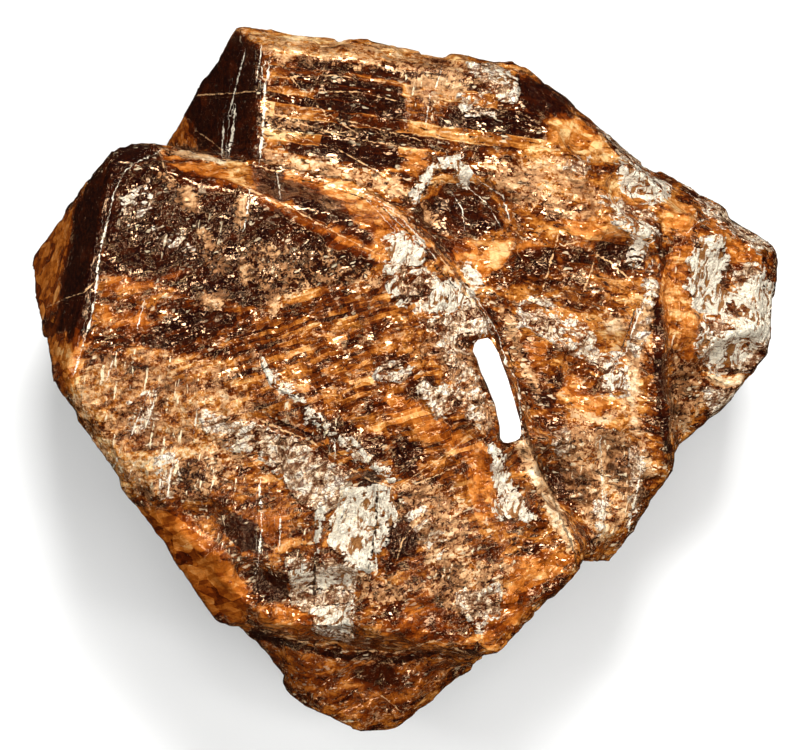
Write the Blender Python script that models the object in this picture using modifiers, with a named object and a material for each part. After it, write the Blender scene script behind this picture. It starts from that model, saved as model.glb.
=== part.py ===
"""A hand-sized zircon specimen: two crystals and two broken offshoots grown together as one stone,
with a blank paper strip glued to its face. It lies on its back, face up.

+X is right and +Y is up across the face, +Z is away from the surface that it lies on. The origin
is under the middle of the stone. Points are in millimetres about the middle of the face, and the
finished meshes are in metres.
"""

import math

import bmesh
import bpy
import numpy as np
from mathutils import Matrix, Vector

MM = 0.001
UP = Vector((0.0, 0.0, 1.0))

# Driving dimensions, in millimetres.
FRONT_FACE_Z = 43.0
BACK_CRYSTAL_Z = 36.0
BLANK_SIZE = 260.0
GRAIN_SIZE = 0.95
STONE_TRIANGLES = 8600
BASE_TRIM = 0.6

# The blank strip of paper: its middle, its size, the way that its seat faces and how it is turned.
LABEL_CENTRE = (13.3, -1.9, 39.6)
LABEL_FACING = (0.43, 0.18, 0.885)
LABEL_TURN = 14.0
LABEL_WIDTH = 3.6
LABEL_LENGTH = 15.0
LABEL_THICKNESS = 0.4
LABEL_CORNER = 0.9
LABEL_GAP = 0.35

# Shell-shaped breaks in the face: x, y and height of the middle of the mouth, half length,
# half width, depth, heading of the long way, and the slope of the mouth to its right.
BREAKS = {
    "upper_hollow": (9.2, 22.6, 36.2, 6.6, 5.2, 2.8, -20.0, 4.0),
    "red_facet": (20.5, 38.2, 35.0, 5.0, 2.6, 1.4, -35.0, 20.0),
    "yellow_facet": (26.0, 33.5, 33.5, 5.5, 3.2, 1.2, -35.0, 25.0),
    "amber_wedge": (13.6, 17.6, 36.5, 4.6, 2.4, 1.4, 35.0, -10.0),
    "hollow_by_crease": (31.0, 16.2, 35.6, 5.8, 3.6, 2.2, -20.0, 8.0),
    "silver_dish": (21.5, 8.5, 36.4, 7.5, 4.2, 1.3, -30.0, 5.0),
    "orange_scoop": (26.4, 1.4, 35.8, 6.4, 5.0, 2.4, 25.0, 10.0),
    "low_hollow": (22.4, -14.4, 35.0, 5.0, 3.0, 2.4, -55.0, 10.0),
    "fan": (28.6, -14.6, 33.5, 7.0, 3.2, 1.5, 70.0, 14.0),
    "shoulder_pocket": (33.2, 24.8, 34.2, 5.2, 3.0, 1.6, -30.0, 10.0),
    "glare_shell": (46.0, 12.0, 30.6, 8.0, 5.0, 1.8, 70.0, 14.0),
    "glare_shell_low": (45.0, 0.5, 28.0, 6.0, 3.6, 1.4, 50.0, 30.0),
    "curl": (5.2, 11.8, 42.2, 5.6, 3.6, 1.2, 40.0, 4.0),
    "silver_step": (-5.4, -19.6, 41.6, 6.4, 4.2, 1.3, 65.0, -6.0),
    "silver_step_low": (-11.0, -30.6, 38.6, 6.0, 3.4, 1.6, 20.0, -10.0),
    "glare_corner": (15.2, -15.0, 39.4, 5.4, 2.6, 1.2, 70.0, 20.0),
    "dark_spot": (-26.0, -20.4, 39.4, 4.4, 3.0, 1.2, -35.0, -20.0),
    "dark_spot_low": (-18.8, -28.4, 38.2, 4.2, 2.6, 1.1, -40.0, -24.0),
    "amber_gash": (10.6, -12.4, 41.0, 6.0, 1.8, 1.1, -66.0, 8.0),
    "lobe_hollow": (-3.2, -42.4, 26.2, 4.6, 2.6, 1.2, 10.0, -20.0),
}

# Crinkle of the broken surfaces: cell size and greatest height, coarse first, and the share of
# a chip's height that is a step and not a tilt.
CRINKLES = ((8.0, 0.60), (3.4, 0.28))
CHIP_STEP = 0.8

# Crystal faces that grew smooth, by the way that they face. A surface counts as such a face
# where the cosine between its own direction and the face's is above SMOOTH_FROM, in full at
# SMOOTH_FULL, and then keeps SMOOTH_SHARE of the crinkle.
SMOOTH_FACES = ((-0.878, 0.185, 0.442), (-0.846, 0.07, 0.53))
SMOOTH_FROM = 0.90
SMOOTH_FULL = 0.96
SMOOTH_SHARE = 0.15

# Calmer places on the broken upper faces: middle x, middle y, radius and the share of the
# crinkle that is left there. Each fades out over the outer two thirds of its radius.
CALM_FADE = 0.67
CALM_PLACES = (
    (-26.0, 15.0, 22.0, 0.35),
    (-8.0, 2.0, 20.0, 0.55),
    (-2.0, 38.0, 16.0, 0.55),
    (13.3, -1.9, 9.0, 0.35),
)


def clear_scene():
    """Removes whatever the scene holds."""
    for obj in list(bpy.data.objects):
        bpy.data.objects.remove(obj, do_unlink=True)


def new_collection(name, hidden=False):
    collection = bpy.data.collections.new(name)
    collection.hide_render = hidden
    bpy.context.scene.collection.children.link(collection)
    return collection


def new_object(name, bm, collection):
    """Turns a bmesh in millimetres into an object in metres."""
    mesh = bpy.data.meshes.new(name)
    bm.transform(Matrix.Scale(MM, 4))
    bm.to_mesh(mesh)
    bm.free()
    obj = bpy.data.objects.new(name, mesh)
    collection.objects.link(obj)
    return obj


def ledge(start, end, height, dip):
    """A facet that leaves the edge from start to end, at that height, and falls away to the right
    of it. A dip of 0 is level, 90 is upright, and more than 90 is undercut."""
    along = Vector((end[0] - start[0], end[1] - start[1], 0.0)).normalized()
    outward = Vector((along.y, -along.x, 0.0))
    angle = math.radians(dip)
    return Vector((*start, height)), outward * math.sin(angle) + UP * math.cos(angle)


def through(first, second, third, outward):
    """A facet through three points. outward is a rough direction that it faces."""
    a, b, c = Vector(first), Vector(second), Vector(third)
    normal = (b - a).cross(c - a).normalized()
    return a, normal if normal.dot(Vector(outward)) > 0 else -normal


def facing(point, normal):
    """A facet at a point, facing along normal."""
    return Vector(point), Vector(normal).normalized()


def cut_block(name, facets, collection):
    """One convex crystal block: a cube with all that lies outside each facet cut off."""
    bm = bmesh.new()
    bmesh.ops.create_cube(bm, size=BLANK_SIZE)
    for point, normal in facets.values():
        geometry = bm.verts[:] + bm.edges[:] + bm.faces[:]
        bmesh.ops.bisect_plane(
            bm, geom=geometry, plane_co=point, plane_no=normal, clear_outer=True, dist=1e-4
        )
        open_edges = [edge for edge in bm.edges if edge.is_boundary]
        if open_edges:
            bmesh.ops.edgeloop_fill(bm, edges=open_edges)
    bmesh.ops.recalc_face_normals(bm, faces=bm.faces[:])
    return new_object(name, bm, collection)


def front_crystal(collection):
    """The crystal that stands nearest, with its dark end face at the left."""
    z = FRONT_FACE_Z
    facets = {
        "face_upper": facing((-20.0, 10.0, z), (-0.02, 0.03, 1.0)),
        "face_lower_left": ledge((-45.0, 6.4), (-1.0, -15.4), z - 0.2, 9.0),
        "face_lower_right": ledge((-1.0, -15.4), (14.0, -4.0), z - 0.6, 8.0),
        "end_face": through((-39.2, 29.0, z), (-45.1, 1.0, z), (-53.0, 16.3, 22.0), (-1, 0, 1)),
        "end_cap": through((-33.5, 32.2, 42.6), (-39.2, 29.0, z), (-38.6, 32.4, 38.0), (0, 1, 1)),
        "end_upper_back": through(
            (-38.0, 32.0, 42.0), (-53.0, 16.3, 22.0), (-36.0, 31.0, 8.0), (-1, 1, 0)
        ),
        "end_lower_back": through(
            (-53.0, 16.3, 22.0), (-46.8, -2.5, 40.0), (-33.0, -8.0, 4.0), (-1, -1, -1)
        ),
        "rim_left": ledge((-45.0, -4.0), (-35.0, -19.0), z - 4.0, 52.0),
        "rim_left_back": ledge((-47.2, -3.0), (-38.1, -18.6), 33.5, 117.0),
        "rim_low_left": ledge((-36.5, -17.0), (-20.0, -33.5), z - 6.0, 50.0),
        "rim_low_left_back": ledge((-38.4, -18.2), (-28.6, -30.4), 31.0, 122.0),
        "rim_foot_back": ledge((-30.0, -29.6), (-20.5, -35.2), 30.0, 124.0),
        "foot": ledge((-20.0, -34.4), (12.0, -38.2), z - 8.0, 74.0),
        "foot_right": ledge((12.6, -38.4), (26.0, -23.0), z - 9.0, 96.0),
        "shoulder_right": ledge((14.0, -13.6), (2.6, 13.4), z - 1.6, 27.0),
        "side_right": ledge((25.0, -24.0), (9.8, 13.0), z - 5.4, 74.0),
        "rim_right": ledge((12.6, 7.8), (-0.4, 22.8), z - 3.4, 62.0),
        "rim_upper": ledge((1.0, 20.0), (-21.3, 25.8), z - 0.6, 62.0),
        "rim_upper_left": ledge((-12.0, 24.0), (-33.2, 28.2), z - 0.4, 62.0),
        "top_back": ledge((-12.0, 30.8), (-38.0, 32.4), 34.0, 97.0),
        "back_left": facing((-32.0, -4.0, 8.0), (-0.55, -0.12, -0.82)),
        "back_low_left": facing((-24.0, -20.0, 7.0), (-0.4, -0.5, -0.77)),
        "back_low": facing((-4.0, -30.0, 9.0), (-0.05, -0.5, -0.86)),
        "back_upper": facing((-30.0, 24.0, 7.0), (-0.35, 0.45, -0.82)),
        "back": facing((0.0, 0.0, 0.0), (0.0, 0.0, -1.0)),
    }
    return cut_block("front_crystal", facets, collection)


def front_crystal_toe(collection):
    """The broken corner of the front crystal that runs out below the strip of paper."""
    z = FRONT_FACE_Z
    facets = {
        "face": facing((12.0, -22.0, z - 3.6), (0.10, -0.10, 1.0)),
        "left": ledge((2.0, -2.0), (2.0, -38.0), z, 90.0),
        "foot": ledge((2.0, -37.6), (12.6, -38.6), z - 8.0, 80.0),
        "foot_right": ledge((12.0, -39.0), (24.8, -25.6), z - 9.0, 98.0),
        "right": ledge((24.8, -25.4), (16.6, -8.6), z - 5.5, 70.0),
        "top": ledge((18.0, -7.0), (2.0, -2.0), z - 4.0, 60.0),
        "back": facing((0.0, 0.0, 12.0), (0.1, -0.3, -1.0)),
    }
    return cut_block("front_crystal_toe", facets, collection)


def back_crystal(collection):
    """The crystal behind, which stands out at the top and right."""
    z = BACK_CRYSTAL_Z
    facets = {
        "face_upper": facing((-5.0, 36.0, z), (0.0, 0.05, 1.0)),
        "face_lower": ledge((-20.0, 4.0), (36.0, 14.0), z + 1.0, 7.0),
        "face_right": ledge((26.0, -20.0), (28.0, 34.0), z + 1.0, 8.0),
        "end_face": through((-19.2, 45.8, z), (-20.6, 29.7, z), (-34.0, 32.5, 14.0), (-1, 0, 1)),
        "end_upper_back": through(
            (-23.2, 49.0, 30.0), (-34.4, 32.2, 14.0), (-18.0, 48.0, 4.0), (-1, 1, 0)
        ),
        "top_bevel": ledge((20.0, 41.0), (-19.2, 45.9), z - 0.6, 64.0),
        "top_back": ledge((22.0, 41.9), (-23.0, 49.0), 28.0, 108.0),
        "shoulder_bevel": ledge((31.0, 29.4), (14.0, 41.9), z - 1.2, 50.0),
        "shoulder": ledge((36.8, 26.8), (19.2, 42.4), 26.0, 84.0),
        "right": ledge((36.8, -9.0), (35.6, 26.0), z - 0.8, 76.0),
        "low_right": ledge((30.0, -24.0), (39.6, -10.0), 26.0, 100.0),
        "low": ledge((20.0, -23.4), (31.5, -25.4), 25.0, 104.0),
        "low_bevel": ledge((26.0, -22.4), (38.0, -9.0), 34.0, 45.0),
        "left_back": facing((-34.4, 32.2, 13.5), (-0.8, 0.1, -0.6)),
        "back_upper": facing((-4.0, 43.0, 8.0), (0.05, 0.62, -0.78)),
        "back_corner": facing((26.0, 34.0, 10.0), (0.5, 0.5, -0.7)),
        "back_right": facing((36.0, 6.0, 10.0), (0.7, -0.1, -0.7)),
        "back_low": facing((30.0, -20.0, 9.0), (0.4, -0.55, -0.73)),
        "left": ledge((-36.0, 34.0), (-30.0, -24.0), 0.0, 90.0),
        "back": facing((0.0, 0.0, 0.0), (0.0, 0.0, -1.0)),
    }
    return cut_block("back_crystal", facets, collection)


def right_offshoot(collection):
    """The broken block at the far right."""
    facets = {
        "face": facing((42.0, 10.0, 31.6), (0.24, -0.03, 1.0)),
        "face_low": ledge((36.0, -2.0), (52.0, 6.0), 29.0, 34.0),
        "upper": ledge((52.6, 17.2), (34.6, 28.0), 28.0, 66.0),
        "upper_back": ledge((53.4, 17.2), (36.4, 29.2), 23.0, 118.0),
        "tip": ledge((51.8, 3.0), (52.8, 17.0), 24.0, 98.0),
        "tip_low": ledge((45.0, -5.4), (52.4, 5.2), 22.0, 96.0),
        "low": ledge((37.0, -11.6), (46.4, -3.6), 21.0, 98.0),
        "tip_bevel": ledge((50.0, 2.0), (51.0, 16.0), 28.0, 50.0),
        "left": ledge((30.0, 30.0), (30.0, -12.0), 0.0, 90.0),
        "back": facing((40.0, 8.0, 5.0), (0.35, -0.05, -0.93)),
    }
    return cut_block("right_offshoot", facets, collection)


def foot_offshoot(collection):
    """The blunt lump under the front crystal's lower edge."""
    facets = {
        "face": facing((-4.0, -40.0, 27.0), (0.0, -0.42, 1.0)),
        "face_left": ledge((-20.0, -33.0), (-9.0, -47.0), 26.0, 52.0),
        "left": ledge((-21.8, -35.4), (-15.4, -44.6), 20.0, 98.0),
        "left_low": ledge((-16.4, -44.2), (-4.6, -50.0), 19.0, 100.0),
        "tip": ledge((-5.6, -50.0), (1.0, -48.6), 18.0, 96.0),
        "right": ledge((-1.0, -49.4), (12.6, -39.0), 20.0, 98.0),
        "face_right": ledge((0.6, -47.4), (12.0, -36.4), 24.0, 48.0),
        "upper": ledge((18.0, -8.0), (-22.0, -8.0), 0.0, 90.0),
        "back_left": facing((-16.0, -34.0, 12.0), (-0.6, -0.2, -0.77)),
        "back_right": facing((8.0, -36.0, 12.0), (0.6, -0.3, -0.74)),
        "back": facing((0.0, -38.0, 8.0), (0.0, -0.5, -0.87)),
    }
    return cut_block("foot_offshoot", facets, collection)


def shell_break(name, size, collection):
    """A cutter for one shell-shaped break: an ellipsoid whose mouth is at the stone's face."""
    x, y, z, half_length, half_width, depth, heading, slope = size
    bm = bmesh.new()
    bmesh.ops.create_icosphere(bm, subdivisions=4, radius=1.0)
    reach = 2.0 * depth
    spread = math.sqrt(1.0 - ((reach - depth) / reach) ** 2)
    bm.transform(Matrix.Diagonal((half_length / spread, half_width / spread, reach, 1.0)))
    bm.transform(Matrix.Translation((0.0, 0.0, reach - depth)))
    turn = Matrix.Rotation(math.radians(slope), 4, "Y")
    turn @= Matrix.Rotation(math.radians(heading), 4, "Z")
    bm.transform(Matrix.Translation((x, y, z)) @ turn)
    return new_object(name, bm, collection)


def boolean(target, other, operation):
    """Adds an exact Boolean and puts the other object out of the picture."""
    modifier = target.modifiers.new(f"{operation}_{other.name}", "BOOLEAN")
    modifier.operation = operation
    modifier.object = other
    modifier.solver = "EXACT"
    other.hide_render = True
    other.display_type = "WIRE"


def grown_mesh(obj, name):
    """The object's mesh with its modifiers worked in, as a new mesh."""
    graph = bpy.context.evaluated_depsgraph_get()
    mesh = bpy.data.meshes.new_from_object(obj.evaluated_get(graph))
    mesh.name = name
    return mesh


def cell_values(cell, seed):
    """Seven repeatable values from 0 to 1 for each cell."""
    mixed = cell[:, 0] * 374761393 + cell[:, 1] * 668265263 + cell[:, 2] * 2147483647
    mixed = (mixed + seed * 1442695041) & 0xFFFFFFFF
    values = []
    for _ in range(7):
        mixed = (mixed ^ (mixed >> 13)) * 1274126177 & 0xFFFFFFFF
        mixed = (mixed ^ (mixed >> 16)) & 0xFFFFFFFF
        values.append(mixed / 0xFFFFFFFF)
    return np.stack(values, axis=1)


def chips(points, size, seed):
    """Crinkle from -1 to 1: each cell around a scattered point is a flat chip with its own tilt."""
    base = np.floor(points / size).astype(np.int64)
    nearest = np.full(len(points), np.inf)
    height = np.zeros(len(points))
    for offset in np.ndindex(3, 3, 3):
        cell = base + np.array(offset) - 1
        values = cell_values(cell, seed)
        gap = points - (cell + values[:, 0:3]) * size
        distance = np.linalg.norm(gap, axis=1)
        tilt = values[:, 3:6] * 2.0 - 1.0
        chip = np.sum(gap * tilt, axis=1) / size + (values[:, 6] - 0.5) * CHIP_STEP
        closer = distance < nearest
        nearest = np.where(closer, distance, nearest)
        height = np.where(closer, chip, height)
    return np.clip(height, -1.0, 1.0)


def crinkle(mesh):
    """Moves each vertex along its normal, least on the smooth faces and in the calm places."""
    count = len(mesh.vertices)
    points = np.empty(count * 3)
    normals = np.empty(count * 3)
    mesh.vertices.foreach_get("co", points)
    mesh.vertex_normals.foreach_get("vector", normals)
    points = points.reshape(-1, 3)
    normals = normals.reshape(-1, 3)
    amount = np.ones(count)
    for direction in SMOOTH_FACES:
        like = normals @ (np.array(direction) / np.linalg.norm(direction))
        smooth = np.clip((like - SMOOTH_FROM) / (SMOOTH_FULL - SMOOTH_FROM), 0.0, 1.0)
        amount *= 1.0 - (1.0 - SMOOTH_SHARE) * smooth
    faces_up = np.clip(4.0 * normals[:, 2] - 2.0, 0.0, 1.0)
    for x, y, radius, share in CALM_PLACES:
        away = np.hypot(points[:, 0] / MM - x, points[:, 1] / MM - y) / radius
        inside = np.clip((1.0 - away) / CALM_FADE, 0.0, 1.0)
        amount *= 1.0 - (1.0 - share) * inside * faces_up
    for number, (size, height) in enumerate(CRINKLES):
        rise = chips(points / MM, size, number + 1) * height * MM
        points += normals * (rise * amount)[:, None]
    mesh.vertices.foreach_set("co", points.ravel())
    mesh.update()


def keep_largest_shell(mesh):
    """Deletes every loose crumb and sealed bubble, and leaves the one outer skin."""
    bm = bmesh.new()
    bm.from_mesh(mesh)
    waiting = set(bm.verts)
    shells = []
    while waiting:
        front = [waiting.pop()]
        shell = []
        while front:
            vertex = front.pop()
            shell.append(vertex)
            linked = {edge.other_vert(vertex) for edge in vertex.link_edges} & waiting
            waiting -= linked
            front.extend(linked)
        shells.append(shell)
    shells.sort(key=len)
    for shell in shells[:-1]:
        bmesh.ops.delete(bm, geom=shell, context="VERTS")
    bm.to_mesh(mesh)
    bm.free()


def flat_cut(mesh, point, normal):
    """Cuts the mesh off flat at a plane and closes the cut."""
    bm = bmesh.new()
    bm.from_mesh(mesh)
    geometry = bm.verts[:] + bm.edges[:] + bm.faces[:]
    bmesh.ops.bisect_plane(bm, geom=geometry, plane_co=point, plane_no=normal, clear_outer=True)
    open_edges = [edge for edge in bm.edges if edge.is_boundary]
    bmesh.ops.edgeloop_fill(bm, edges=open_edges)
    bmesh.ops.triangulate(bm, faces=bm.faces[:])
    bm.to_mesh(mesh)
    bm.free()


def label_frame():
    """The strip's place: its length along Y before the turn, its face along LABEL_FACING."""
    tilt = UP.rotation_difference(Vector(LABEL_FACING)).to_matrix().to_4x4()
    turn = Matrix.Rotation(math.radians(LABEL_TURN), 4, "Z")
    return Matrix.Translation(LABEL_CENTRE) @ tilt @ turn


def strip(name, margin, low, high, collection):
    """The strip's outline, widened by margin, as a slab from low to high in the strip's place."""
    bm = bmesh.new()
    bmesh.ops.create_cube(bm, size=1.0)
    size = (LABEL_WIDTH + 2 * margin, LABEL_LENGTH + 2 * margin, high - low, 1.0)
    bm.transform(Matrix.Diagonal(size))
    bm.transform(Matrix.Translation((0.0, 0.0, (low + high) / 2.0)))
    upright = [edge for edge in bm.edges if abs(edge.verts[0].co.z - edge.verts[1].co.z) > 0.1]
    bmesh.ops.bevel(bm, geom=upright, offset=LABEL_CORNER + margin, segments=3, profile=0.5)
    bmesh.ops.triangulate(bm, faces=bm.faces[:])
    bm.transform(label_frame())
    return new_object(name, bm, collection)


def stand_on_origin(pieces):
    """Moves the meshes so that the middle of their box's underside is at the origin."""
    corners = np.array([corner for piece in pieces for corner in piece.bound_box])
    low, high = corners.min(axis=0), corners.max(axis=0)
    middle = (low + high) / 2.0
    for piece in pieces:
        piece.data.transform(Matrix.Translation((-middle[0], -middle[1], -low[2])))


def finish(name, colour, roughness, metallic):
    material = bpy.data.materials.new(name)
    material.use_nodes = True
    shader = material.node_tree.nodes["Principled BSDF"]
    shader.inputs["Base Color"].default_value = (*colour, 1.0)
    shader.inputs["Roughness"].default_value = roughness
    shader.inputs["Metallic"].default_value = metallic
    return material


def zircon_crystal(collection, cutters):
    """The whole stone: blocks joined, breaks taken out, the surface crinkled and then thinned."""
    rough = front_crystal(cutters)
    for build in (front_crystal_toe, back_crystal, right_offshoot, foot_offshoot):
        boolean(rough, build(cutters), "UNION")
    for name, size in BREAKS.items():
        boolean(rough, shell_break(name, size, cutters), "DIFFERENCE")
    remesh = rough.modifiers.new("grain", "REMESH")
    remesh.mode = "VOXEL"
    remesh.voxel_size = GRAIN_SIZE * MM
    rough.hide_render = True
    rough.display_type = "WIRE"
    mesh = grown_mesh(rough, "zircon_crystal")
    keep_largest_shell(mesh)
    crinkle(mesh)
    stone = bpy.data.objects.new("zircon_crystal", mesh)
    collection.objects.link(stone)
    thin = stone.modifiers.new("thin", "DECIMATE")
    thin.ratio = STONE_TRIANGLES / sum(len(face.vertices) - 2 for face in mesh.polygons)
    stone.data = grown_mesh(stone, "zircon_crystal")
    stone.modifiers.clear()
    flat_cut(stone.data, (0.0, 0.0, BASE_TRIM * MM), (0.0, 0.0, -1.0))
    boolean(stone, strip("label_seat", LABEL_GAP, -LABEL_GAP, 9.0, cutters), "DIFFERENCE")
    stone.data = grown_mesh(stone, "zircon_crystal")
    stone.modifiers.clear()
    keep_largest_shell(stone.data)
    return stone


def specimen_label(collection):
    """The blank strip of paper on the front crystal's shoulder."""
    return strip("specimen_label", 0.0, 0.0, LABEL_THICKNESS, collection)


def main():
    clear_scene()
    collection = new_collection("zircon_specimen")
    cutters = new_collection("cutters", hidden=True)
    stone = zircon_crystal(collection, cutters)
    stone.data.materials.clear()
    stone.data.materials.append(finish("zircon", (0.24, 0.07, 0.018), 0.3, 0.0))
    label = specimen_label(collection)
    stand_on_origin((stone, label))
    label.data.materials.append(finish("label_paper", (0.85, 0.83, 0.78), 0.7, 0.0))


main()
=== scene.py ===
"""Looks of a hand-sized zircon specimen: one grown stone of crystals, seen from straight above, and
the blank strip of paper glued to its face.

Places on the stone are in millimetres about the middle of its face, +X right and +Y up, and are
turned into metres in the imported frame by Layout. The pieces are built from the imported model's
own solids, so they stay where the solids are.
"""

import logging
import math
from dataclasses import dataclass, field
from enum import Enum
from typing import Union

import bpy
import numpy as np
from mathutils import Matrix, Vector


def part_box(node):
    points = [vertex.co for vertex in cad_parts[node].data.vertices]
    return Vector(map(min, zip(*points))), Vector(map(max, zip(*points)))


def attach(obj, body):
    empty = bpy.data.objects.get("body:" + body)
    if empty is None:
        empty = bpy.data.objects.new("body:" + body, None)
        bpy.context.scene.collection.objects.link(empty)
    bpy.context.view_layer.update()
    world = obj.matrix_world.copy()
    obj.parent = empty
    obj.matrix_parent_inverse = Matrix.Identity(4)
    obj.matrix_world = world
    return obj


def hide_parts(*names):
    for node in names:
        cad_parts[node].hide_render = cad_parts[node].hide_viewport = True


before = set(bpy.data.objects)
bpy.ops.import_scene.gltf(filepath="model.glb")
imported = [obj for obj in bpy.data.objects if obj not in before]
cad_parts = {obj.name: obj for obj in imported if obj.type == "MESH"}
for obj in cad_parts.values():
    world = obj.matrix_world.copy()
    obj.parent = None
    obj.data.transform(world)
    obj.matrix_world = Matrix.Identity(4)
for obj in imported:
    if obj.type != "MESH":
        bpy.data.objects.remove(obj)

LOG = logging.getLogger("zircon")
MM = 0.001

# The camera hangs this high over the floor, and this far up the photo from the face's middle.
CAMERA_HEIGHT = 650.0
CAMERA_UP_OFFSET = 0.3

Corners = tuple[tuple[float, float], ...]
Colour = tuple[float, float, float]
Scale = tuple[tuple[float, Colour], ...]


class Zone(Enum):
    """A finish that shows in places on the stone; some zones are painted light and shade. The value is the
    name of its mesh attribute.
    """

    # DARK is mostly the crystal's own dark colour, with painted shade in recesses and painted shadows.
    DARK = "zone_dark"
    AMBER = "zone_amber"
    YELLOW = "zone_yellow"
    STAIN = "zone_stain"
    # SILVER is pale fracture veils, partly a painted reflection, with painted shade in the folds and
    # painted highlight on the crests.
    SILVER = "zone_silver"
    # GLARE is a painted highlight: facets and edges painted near-white as if they mirrored the lamps.
    GLARE = "zone_glare"
    STRIAE = "zone_striae"
    BANDING = "zone_banding"
    # STREAKS is raised ribs, with painted glint streaks along them.
    STREAKS = "zone_streaks"
    CLEAN = "zone_clean"


@dataclass(frozen=True)
class Outline:
    """A many-sided place on the upper side of the stone, as the camera sees it, in millimetres."""

    name: str
    strength: float
    corners: Corners


@dataclass(frozen=True)
class Stroke:
    """A line along the upper side of the stone, with its half width in millimetres."""

    name: str
    strength: float
    half_width: float
    points: Corners


# Places that show more than one finish.
SLAB_LOW: Corners = (
    (-15.7, 33.6), (-8.7, 33.5), (-0.8, 32.2), (0.0, 29.3), (-3.1, 28.7), (-10.1, 30.7), (-15.4, 31.6),
)
CORNER_FACET: Corners = (
    (16.4, 42.1), (19.6, 41.2), (23.0, 38.6), (24.1, 36.3), (21.6, 36.3), (18.2, 37.7), (16.2, 39.6),
)
FOOT_LOBE: Corners = (
    (-19.6, -36.8), (-10.1, -38.9), (-0.3, -39.6), (9.5, -38.9), (3.9, -43.8), (-0.3, -47.5),
    (-4.5, -48.6), (-10.1, -46.1), (-15.7, -43.0),
)
RIM_RED_FACET: Corners = (
    (-33.2, 31.4), (-28.3, 30.2), (-24.4, 29.3), (-21.8, 27.3), (-23.2, 25.9), (-27.4, 25.9),
    (-32.2, 27.6),
)
RIM_ORANGE_FACETS: Corners = (
    (-16.2, 28.1), (-7.6, 27.0), (-2.2, 24.5), (1.4, 21.7), (4.2, 17.8), (-0.3, 17.2), (-3.6, 19.7),
    (-6.7, 22.8), (-10.1, 25.3),
)
FACE_ORANGE_RIGHT: Corners = (
    (-4.2, -2.1), (1.4, -2.9), (9.5, -8.3), (10.4, -11.9), (5.3, -9.7), (-0.3, -6.6), (-3.9, -4.6),
)
WEDGE: Corners = (
    (10.6, -8.5), (12.7, -10.5), (13.4, -14.7), (13.7, -19.5), (11.2, -20.3), (9.8, -16.1), (10.1, -11.6),
)
CORNER_FACETS: Corners = (
    (22.1, 36.7), (25.8, 35.8), (29.4, 31.8), (26.3, 31.5), (24.1, 32.9), (20.4, 31.5), (20.4, 34.6),
)
OFFSHOOT_WALL: Corners = (
    (36.1, 16.1), (40.3, 19.5), (40.9, 16.1), (40.3, 10.8), (41.7, 4.9), (40.3, 2.1), (37.8, 4.9),
    (36.4, 10.8),
)
BESIDE_STRIP: Corners = (
    (17.1, 4.9), (20.4, 5.2), (21.0, 2.7), (18.5, 1.5),
)
LOW_LEFT_RIM: Corners = (
    (-37.4, -18.1), (-31.1, -18.3), (-24.6, -23.9), (-21.3, -29.8), (-21.3, -35.1), (-26.3, -33.2),
    (-29.7, -29.8), (-33.6, -23.5),
)
LOW_MIDDLE: Corners = (
    (1.1, -31.2), (3.9, -29.5), (9.5, -36.8), (5.3, -38.5), (-0.3, -38.2), (-3.1, -35.4),
)
TOP_STRIP: Corners = (
    (-23.1, 48.7), (-10.1, 48.0), (-0.3, 46.8), (8.1, 45.4), (17.9, 42.7), (9.5, 40.2), (-0.3, 42.1),
    (-10.1, 43.5), (-16.8, 43.5), (-19.3, 45.5),
)
OFFSHOOT: Corners = (
    (40.6, 16.1), (42.6, 19.2), (44.8, 19.5), (45.6, 16.1), (44.8, 13.0), (46.5, 10.8), (44.8, 8.5),
    (41.7, 9.9), (40.3, 12.7),
)

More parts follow.
